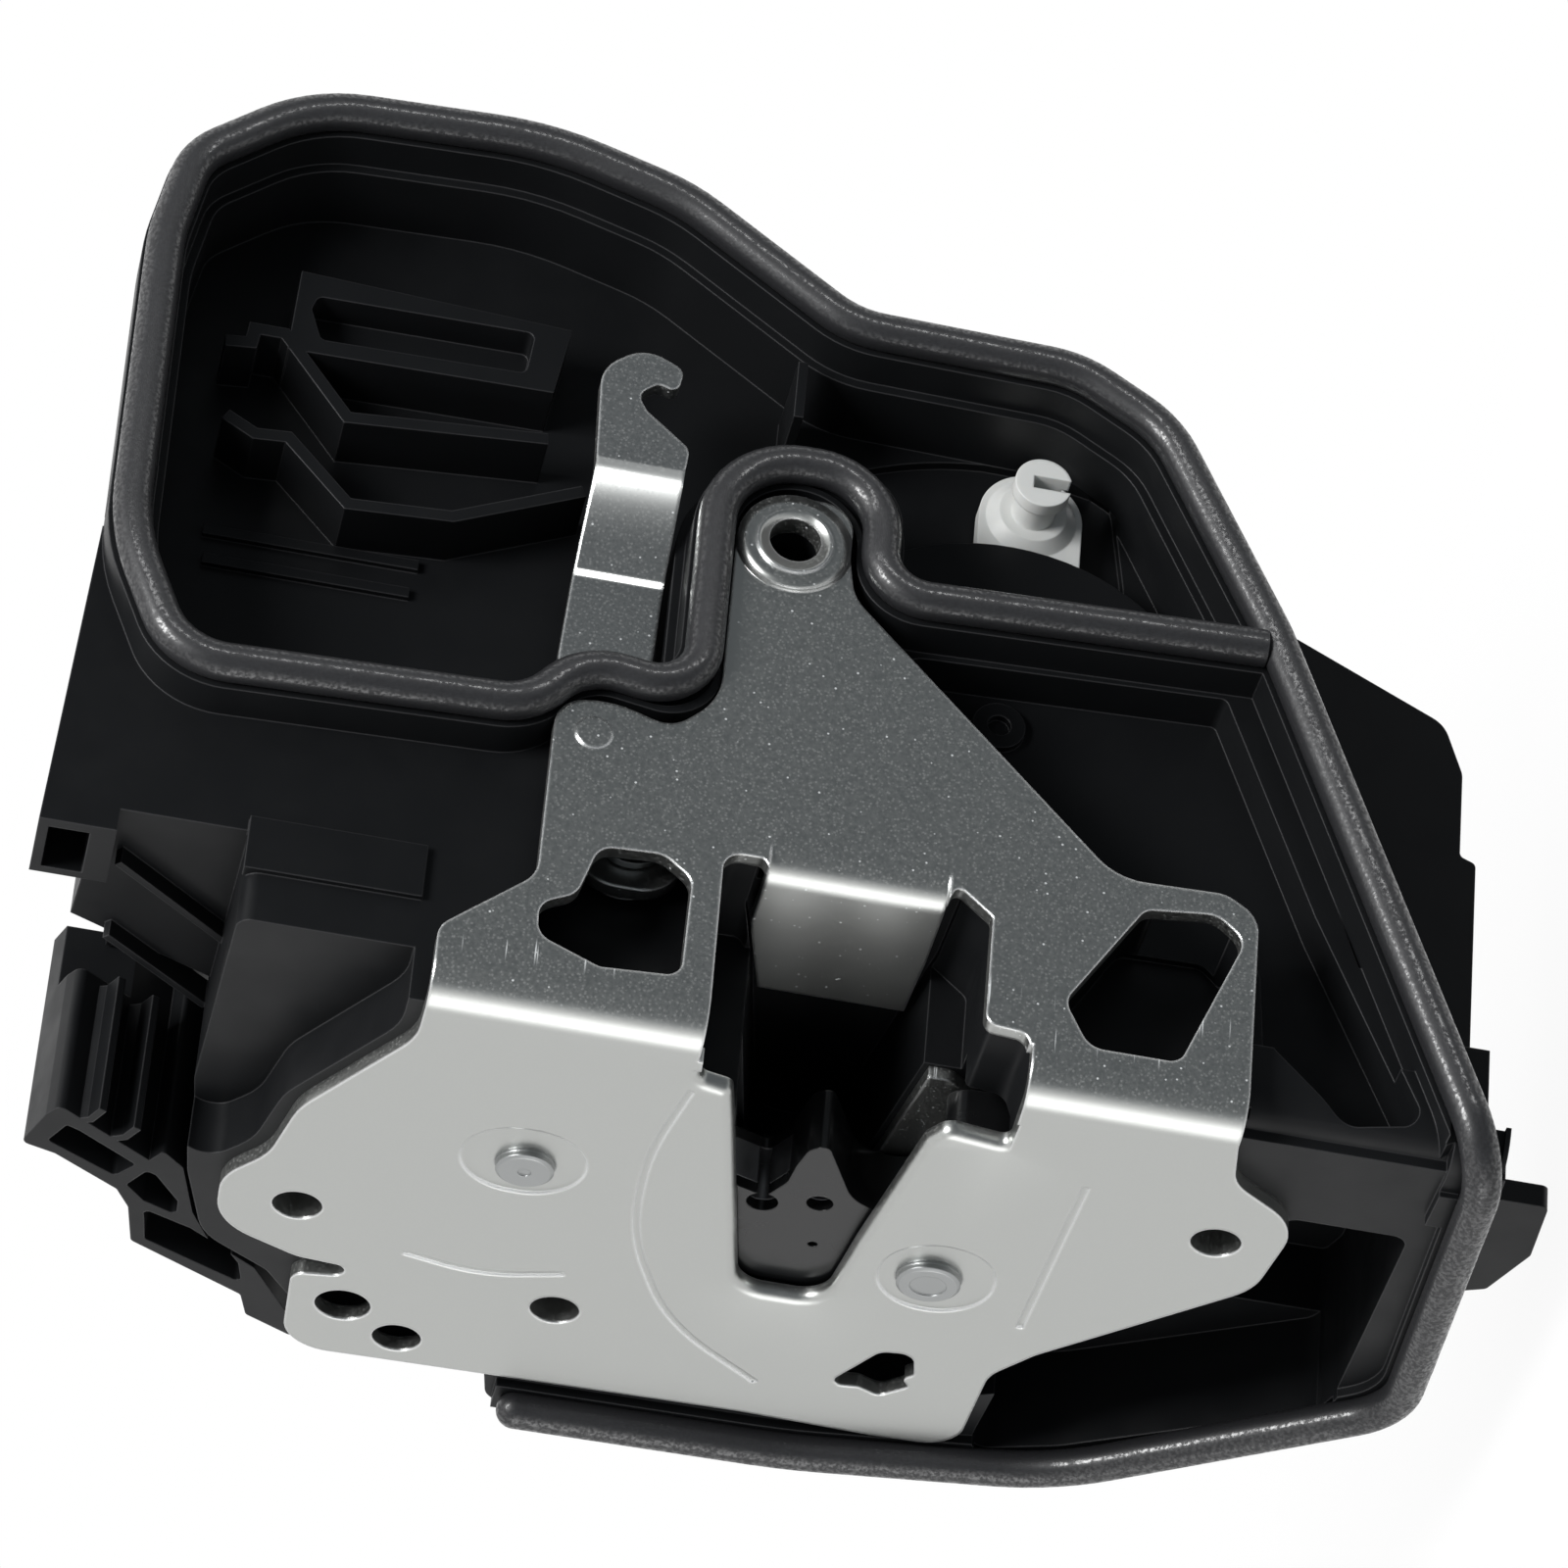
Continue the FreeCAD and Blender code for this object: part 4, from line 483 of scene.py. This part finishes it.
def moulding(name, colour, roughness, texture_depth=0.012 * mm, sheen=0.2, painted_highlight=0.05):
    """Black plastic: a fine pebble, slow changes of gloss, and a highlight painted on its edges as a grey of
    a given level.
    """
    material, tree, shader = new_finish(name, colour, 0.0, roughness)
    shader.inputs["Specular IOR Level"].default_value = sheen
    uneven_gloss(tree, shader, roughness, noise(tree, GLOSS_PATCH, detail=4))
    edge = rounded_normal(tree, MOULD_ROUND)
    # Painted highlight: the edges are tinted to a paler grey.
    paler = tint(tree, painted_edge_highlight(tree, edge, *MOULD_HIGHLIGHT_FADE), colour, (painted_highlight, painted_highlight, 1.05 * painted_highlight))
    tree.links.new(paler, shader.inputs["Base Color"])
    relief(tree, shader, noise(tree, MOULD_GRAIN, detail=3), texture_depth, strength=0.6, normal=edge)
    return material


housing_black = moulding("housing_black", (0.0075, 0.0080, 0.0088), 0.40)
case_black = moulding("case_black", (0.010, 0.0105, 0.0115), 0.46)
cover_black = moulding("cover_black", (0.006, 0.0062, 0.0066), 0.22, 0.003 * mm, sheen=0.5, painted_highlight=0.02)
switch_black = moulding("switch_black", (0.014, 0.014, 0.016), 0.4)
MOULDINGS = [housing_black, case_black, cover_black, switch_black]
print("mouldings made:", len(MOULDINGS))

# %% [markdown]
# The seal is closed-cell rubber: a pebbled surface under a thin glossy skin that is broken into patches,
# which a second noise draws as the shader's coat. The buffer is a rubber without the skin. The lock lever
# and the worm wheel are a natural white polymer that lets a little light in.

# %% Rubber and white polymer
RUBBER_SHEEN = 0.4
PALER_PEBBLE = 1.5
SKIN_PATCH = 0.45 * mm
SKIN_SEED = (0.1, 0.4, 0.7)
SKIN_FADE = (0.42, 0.62)
SKIN_ROUGHNESS = 0.17
LIGHT_REACH = (1.0 * mm, 0.9 * mm, 0.8 * mm)
POLYMER_GRAIN = 0.8 * mm
POLYMER_DEPTH = 0.01 * mm


def rubber(name, colour, roughness, pebble, depth, skin=0.0):
    """Rubber: pebbles of a size and depth, paler on their tops, and a broken glossy skin of weight skin."""
    material, tree, shader = new_finish(name, colour, 0.0, roughness)
    shader.inputs["Specular IOR Level"].default_value = RUBBER_SHEEN
    grain = noise(tree, pebble, detail=6)
    paler = tuple(c * PALER_PEBBLE for c in colour)
    tree.links.new(tint(tree, spread(tree, grain, 0, 1), colour, paler), shader.inputs["Base Color"])
    pebbled = relief(tree, shader, grain, depth, strength=0.7)
    if skin:
        patches = noise(tree, SKIN_PATCH, detail=4, seed=SKIN_SEED)
        tree.links.new(spread(tree, patches, 0, skin, *SKIN_FADE), shader.inputs["Coat Weight"])
        shader.inputs["Coat Roughness"].default_value = SKIN_ROUGHNESS
        tree.links.new(pebbled, shader.inputs["Coat Normal"])
    return material


def natural_polymer(name, colour, roughness=0.38, scatter=0.25):
    """White polymer: a share scatter of the light travels about LIGHT_REACH under a satin skin."""
    material, tree, shader = new_finish(name, colour, 0.0, roughness)
    shader.inputs["Subsurface Weight"].default_value = scatter
    shader.inputs["Subsurface Radius"].default_value = LIGHT_REACH
    shader.inputs["Subsurface Scale"].default_value = 1.0
    edge = rounded_normal(tree, MOULD_ROUND)
    relief(tree, shader, noise(tree, POLYMER_GRAIN, detail=3), POLYMER_DEPTH, strength=0.4, normal=edge)
    return material


seal_rubber = rubber("seal_rubber", (0.013, 0.0132, 0.0145), 0.45, 0.28 * mm, 0.02 * mm, skin=1.0)
bump_rubber = rubber("bump_rubber", (0.02, 0.02, 0.02), 0.6, 0.6 * mm, 0.04 * mm)
lever_white = natural_polymer("lever_white", (0.78, 0.79, 0.77))
wheel_white = natural_polymer("wheel_white", (0.78, 0.78, 0.73))
SOFT_AND_WHITE = [seal_rubber, bump_rubber, lever_white, wheel_white]
print("rubbers and polymers made:", len(SOFT_AND_WHITE))

# %% [markdown]
# ## Which piece gets which finish
#
# Each node of the solid model takes the finish under which the table below lists its name.

# %% Dress the nodes
FINISHES = {
    plate_steel: ["lock_plate", "backplate"],
    housing_black: ["housing", "cable_duct"],
    case_black: ["actuator_case", "connector_socket", "key_coupler"],
    seal_rubber: ["seal"],
    pin_steel: ["catch_pivot", "pawl_pivot", "hook_pin", "lever_pin", "wheel_pin", "outer_pin"],
    fork_steel: ["catch_core", "pawl_core"],
    cover_black: ["catch_cover", "pawl_cover"],
    bump_rubber: ["bump_stop"],
    lever_steel: ["hook_lever", "outer_lever"],
    lever_white: ["lock_lever"],
    wheel_white: ["worm_wheel"],
    motor_can: ["motor"],
    worm_brass: ["motor_worm"],
    screw_steel: ["case_screws"],
    spring_steel: ["catch_spring", "pawl_spring", "hook_spring"],
    switch_black: ["catch_switch", "pawl_switch", "catch_plunger", "pawl_plunger"],
    contact_tin: ["connector_pins"],
}
dressed = 0
for finish, names in FINISHES.items():
    for name in names:
        nodes[name].data.materials.clear()
        nodes[name].data.materials.append(finish)
        dressed += 1
print("nodes dressed:", dressed, "of", len(nodes), "in", len(FINISHES), "finishes")

# %% [markdown]
# ## A dark box for the shade behind the lever's window
#
# The housing's floor has a window for the swing of the white lever, and no light shows through it. A dark box
# behind it stands in for that shade: it shuts the light out of the case and shows only black through the
# window. It could be any small wall: a box is the simplest closed one. It is a few millimetres wide, and
# stands clear of every lever.

# %% Dark box for the shade behind the window
# Two corners of the dark box that stands in for the shade behind the window, in millimetres.
SHADE_BOX = ((100.5, -33.0, -89.0), (101.7, -27.0, -81.0))


def box_piece(name, corners, finish):
    """Box between two corners given in millimetres."""
    low, high = np.array(corners) * mm
    bits = np.array([[i >> 2 & 1, i >> 1 & 1, i & 1] for i in range(8)])
    quads = [(0, 1, 3, 2), (4, 6, 7, 5), (0, 4, 5, 1), (2, 3, 7, 6), (0, 2, 6, 4), (1, 5, 7, 3)]
    mesh = bpy.data.meshes.new(name)
    mesh.from_pydata((low + bits * (high - low)).tolist(), [], quads)
    mesh.materials.append(finish)
    obj = bpy.data.objects.new(name, mesh)
    bpy.context.scene.collection.objects.link(obj)
    return obj


# A dark box in the housing's black, put behind the window to stand in for the shade there.
shade_box = box_piece("window_shade_box", SHADE_BOX, housing_black)
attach(shade_box, "base")
print("web of", len(shade_box.data.polygons), "faces")

# %% [markdown]
# ## The camera
#
# The photograph looks along the corner of the bent plate, from the cabin side and from behind the shut face,
# with the camera rolled so that up in the door points left. A long lens keeps the lines nearly parallel.

# %% Camera
CAMERA_PLACE = Vector((-0.4819, -0.7901, 0.0542))
CAMERA_RIGHT = Vector((0.0756, -0.186, -0.9796))
CAMERA_FORWARD = Vector((0.5702, 0.814, -0.1105))
LENS = 180
SENSOR = 36
VIEW_END = 50


def aim_camera():
    """Camera whose X axis is the picture's right and whose Z axis points back along the view."""
    data = bpy.data.cameras.new("camera")
    data.lens = LENS
    data.sensor_width = SENSOR
    data.clip_end = VIEW_END
    obj = bpy.data.objects.new("camera", data)
    bpy.context.scene.collection.objects.link(obj)
    back = -CAMERA_FORWARD.normalized()
    right = (CAMERA_RIGHT - CAMERA_RIGHT.dot(back) * back).normalized()
    up = back.cross(right)
    turn = Matrix((right, up, back)).transposed().to_4x4()
    obj.matrix_world = Matrix.Translation(CAMERA_PLACE) @ turn
    bpy.context.scene.camera = obj
    return obj


camera = aim_camera()
print("camera at", tuple(round(v, 3) for v in camera.location))

# %% [markdown]
# ## Light and surroundings
#
# The latch was photographed over a white sweep. Metal shows what stands opposite it: the shut face mirrors
# the bright sweep and looks pale, the inner face mirrors the unlit side of the room and looks dark, and the
# bend between them passes a soft box and draws a white line. The world holds all of it: white for the camera,
# the white sweep wherever the backdrop stands, the dim and bluish side of the room, and the soft box as a
# bright patch. Each patch is found by the angle between a ray and the patch's direction.

# %% World
ROOM = Vector((0.04, -1.0, 0.0))
ROOM_EDGE = (0.28, 0.60)
ROOM_LEVEL = 0.145
ROOM_TINT = (0.90, 0.98, 1.05)
SWEEP_LEVEL = 0.88
BEND_BOX = Vector((-0.97, 0.20, -0.11))
BOX_EDGE = (0.90, 0.985)
BOX_LEVEL = 2.0


def facing(tree, direction, start, end):
    """How far a ray points along a direction: 0 below the cosine start, 1 above the cosine end."""
    ray = tree.nodes.new("ShaderNodeTexCoord").outputs["Generated"]
    cosine = vector_maths(tree, "DOT_PRODUCT", ray, direction.normalized())
    return spread(tree, cosine, 0, 1, start, end, smooth=True)


def make_world():
    """White to the camera; to other rays the white sweep, the dim room and the soft box."""
    world = bpy.data.worlds.new("studio")
    world.use_nodes = True
    bpy.context.scene.world = world
    tree = world.node_tree
    background = tree.nodes["Background"]
    room = facing(tree, ROOM, *ROOM_EDGE)
    level = spread(tree, room, SWEEP_LEVEL, ROOM_LEVEL, 0, 1)
    level = add(tree, level, facing(tree, BEND_BOX, *BOX_EDGE), BOX_LEVEL)
    rays = tree.nodes.new("ShaderNodeLightPath").outputs["Is Camera Ray"]
    strength = tree.nodes.new("ShaderNodeMix")
    strength.data_type = "FLOAT"
    strength.inputs["B"].default_value = 1.0
    tree.links.new(rays, strength.inputs["Factor"])
    tree.links.new(level, strength.inputs["A"])
    tree.links.new(strength.outputs["Result"], background.inputs["Strength"])
    dim = maths(tree, "MULTIPLY", room, maths(tree, "LESS_THAN", rays, 0.5))
    tree.links.new(tint(tree, dim, (1, 1, 1), ROOM_TINT), background.inputs["Color"])


make_world()
print("world made, room level", ROOM_LEVEL)

# %% [markdown]
# One soft lamp high up fills the pockets and lights the white lever. A long narrow lamp draws the thin broken
# streak along the rubber. Light linking keeps it off everything but the seal, as a flag on a stand would do.

# %% Lamps
# Place in metres, width and height in metres, power in watts.
LAMPS = {
    "fill": (Vector((-0.10, -0.65, 0.75)), (0.40, 0.40), 11.0),
    "streak": (Vector((0.225, -0.425, 0.0)), (0.03, 0.60), 0.75),
}


def add_lamp(name, place, size, watts):
    """Flat lamp of a width and a height that looks at the middle of the latch."""
    data = bpy.data.lights.new(name, "AREA")
    data.shape = "RECTANGLE"
    data.size, data.size_y = size
    data.energy = watts
    lamp = bpy.data.objects.new(name, data)
    bpy.context.scene.collection.objects.link(lamp)
    lamp.location = place
    lamp.rotation_euler = (-place).to_track_quat("-Z", "Y").to_euler()
    return lamp


lamps = {name: add_lamp(name, *facts) for name, facts in LAMPS.items()}
seal_only = bpy.data.collections.new("seal_only")
seal_only.objects.link(nodes["seal"])
lamps["streak"].light_linking.receiver_collection = seal_only
print("lamps:", len(lamps))

# %% [markdown]
# ## The floor
#
# A pale disc lies under the latch. It takes a soft shadow near the latch and fades into the white backdrop.

# %% Floor
FLOOR_RADIUS = 0.6
FLOOR_GAP = 0.5 * mm
FLOOR_RINGS = 8
FLOOR_TURNS = 64
FLOOR_WHITE = (0.9, 0.9, 0.9)
FLOOR_SHARE = 0.07
FLOOR_FADE = (0.03, 0.17)


def floor_disc():
    """Disc: radius from 0 to FLOOR_RADIUS along one parameter, a full turn along the other."""
    steps = np.linspace(0, 1, FLOOR_RINGS + 1)[1:, None]
    turns = np.linspace(0, 2 * np.pi, FLOOR_TURNS + 1)[:-1][None, :]
    level = cad_box[0][2] - FLOOR_GAP
    x = FLOOR_RADIUS * steps * np.cos(turns)
    y = FLOOR_RADIUS * steps * np.sin(turns)
    rim = np.stack([x, y, np.full_like(x, level)], -1).reshape(-1, 3)
    points = np.vstack([[[0, 0, level]], rim])
    n = turns.size
    first = np.arange(n)
    middle = np.stack([np.zeros(n, int), 1 + first, 1 + (first + 1) % n], -1)
    ring = np.arange(steps.size - 1)[:, None] * n
    quads = np.stack([1 + ring + first, 1 + ring + n + first, 1 + ring + n + (first + 1) % n,
                      1 + ring + (first + 1) % n], -1).reshape(-1, 4)
    mesh = bpy.data.meshes.new("floor")
    mesh.from_pydata(points.tolist(), [], middle.tolist() + quads.tolist())
    obj = bpy.data.objects.new("floor", mesh)
    bpy.context.scene.collection.objects.link(obj)
    return obj


def floor_finish():
    """A share FLOOR_SHARE of pale diffuse near the middle, which fades to clear over FLOOR_FADE."""
    material, tree, shader = new_finish("floor_pale", FLOOR_WHITE, 0.0, 0.9)
    clear = tree.nodes.new("ShaderNodeBsdfTransparent")
    coords = tree.nodes.new("ShaderNodeTexCoord").outputs["Object"]
    radius = vector_maths(tree, "LENGTH", vector_maths(tree, "MULTIPLY", coords, (1, 1, 0)))
    fade = spread(tree, radius, FLOOR_SHARE, 0.0, *FLOOR_FADE)
    mix = tree.nodes.new("ShaderNodeMixShader")
    output = tree.nodes["Material Output"]
    tree.links.new(fade, mix.inputs["Fac"])
    tree.links.new(clear.outputs[0], mix.inputs[1])
    tree.links.new(shader.outputs[0], mix.inputs[2])
    tree.links.new(mix.outputs[0], output.inputs["Surface"])
    return material


floor = floor_disc()
floor.data.materials.append(floor_finish())
print("floor radius", FLOOR_RADIUS)

# %% [markdown]
#
# Standard view keeps each colour as it was written.

# %% Finish
bpy.context.scene.view_settings.view_transform = "Standard"
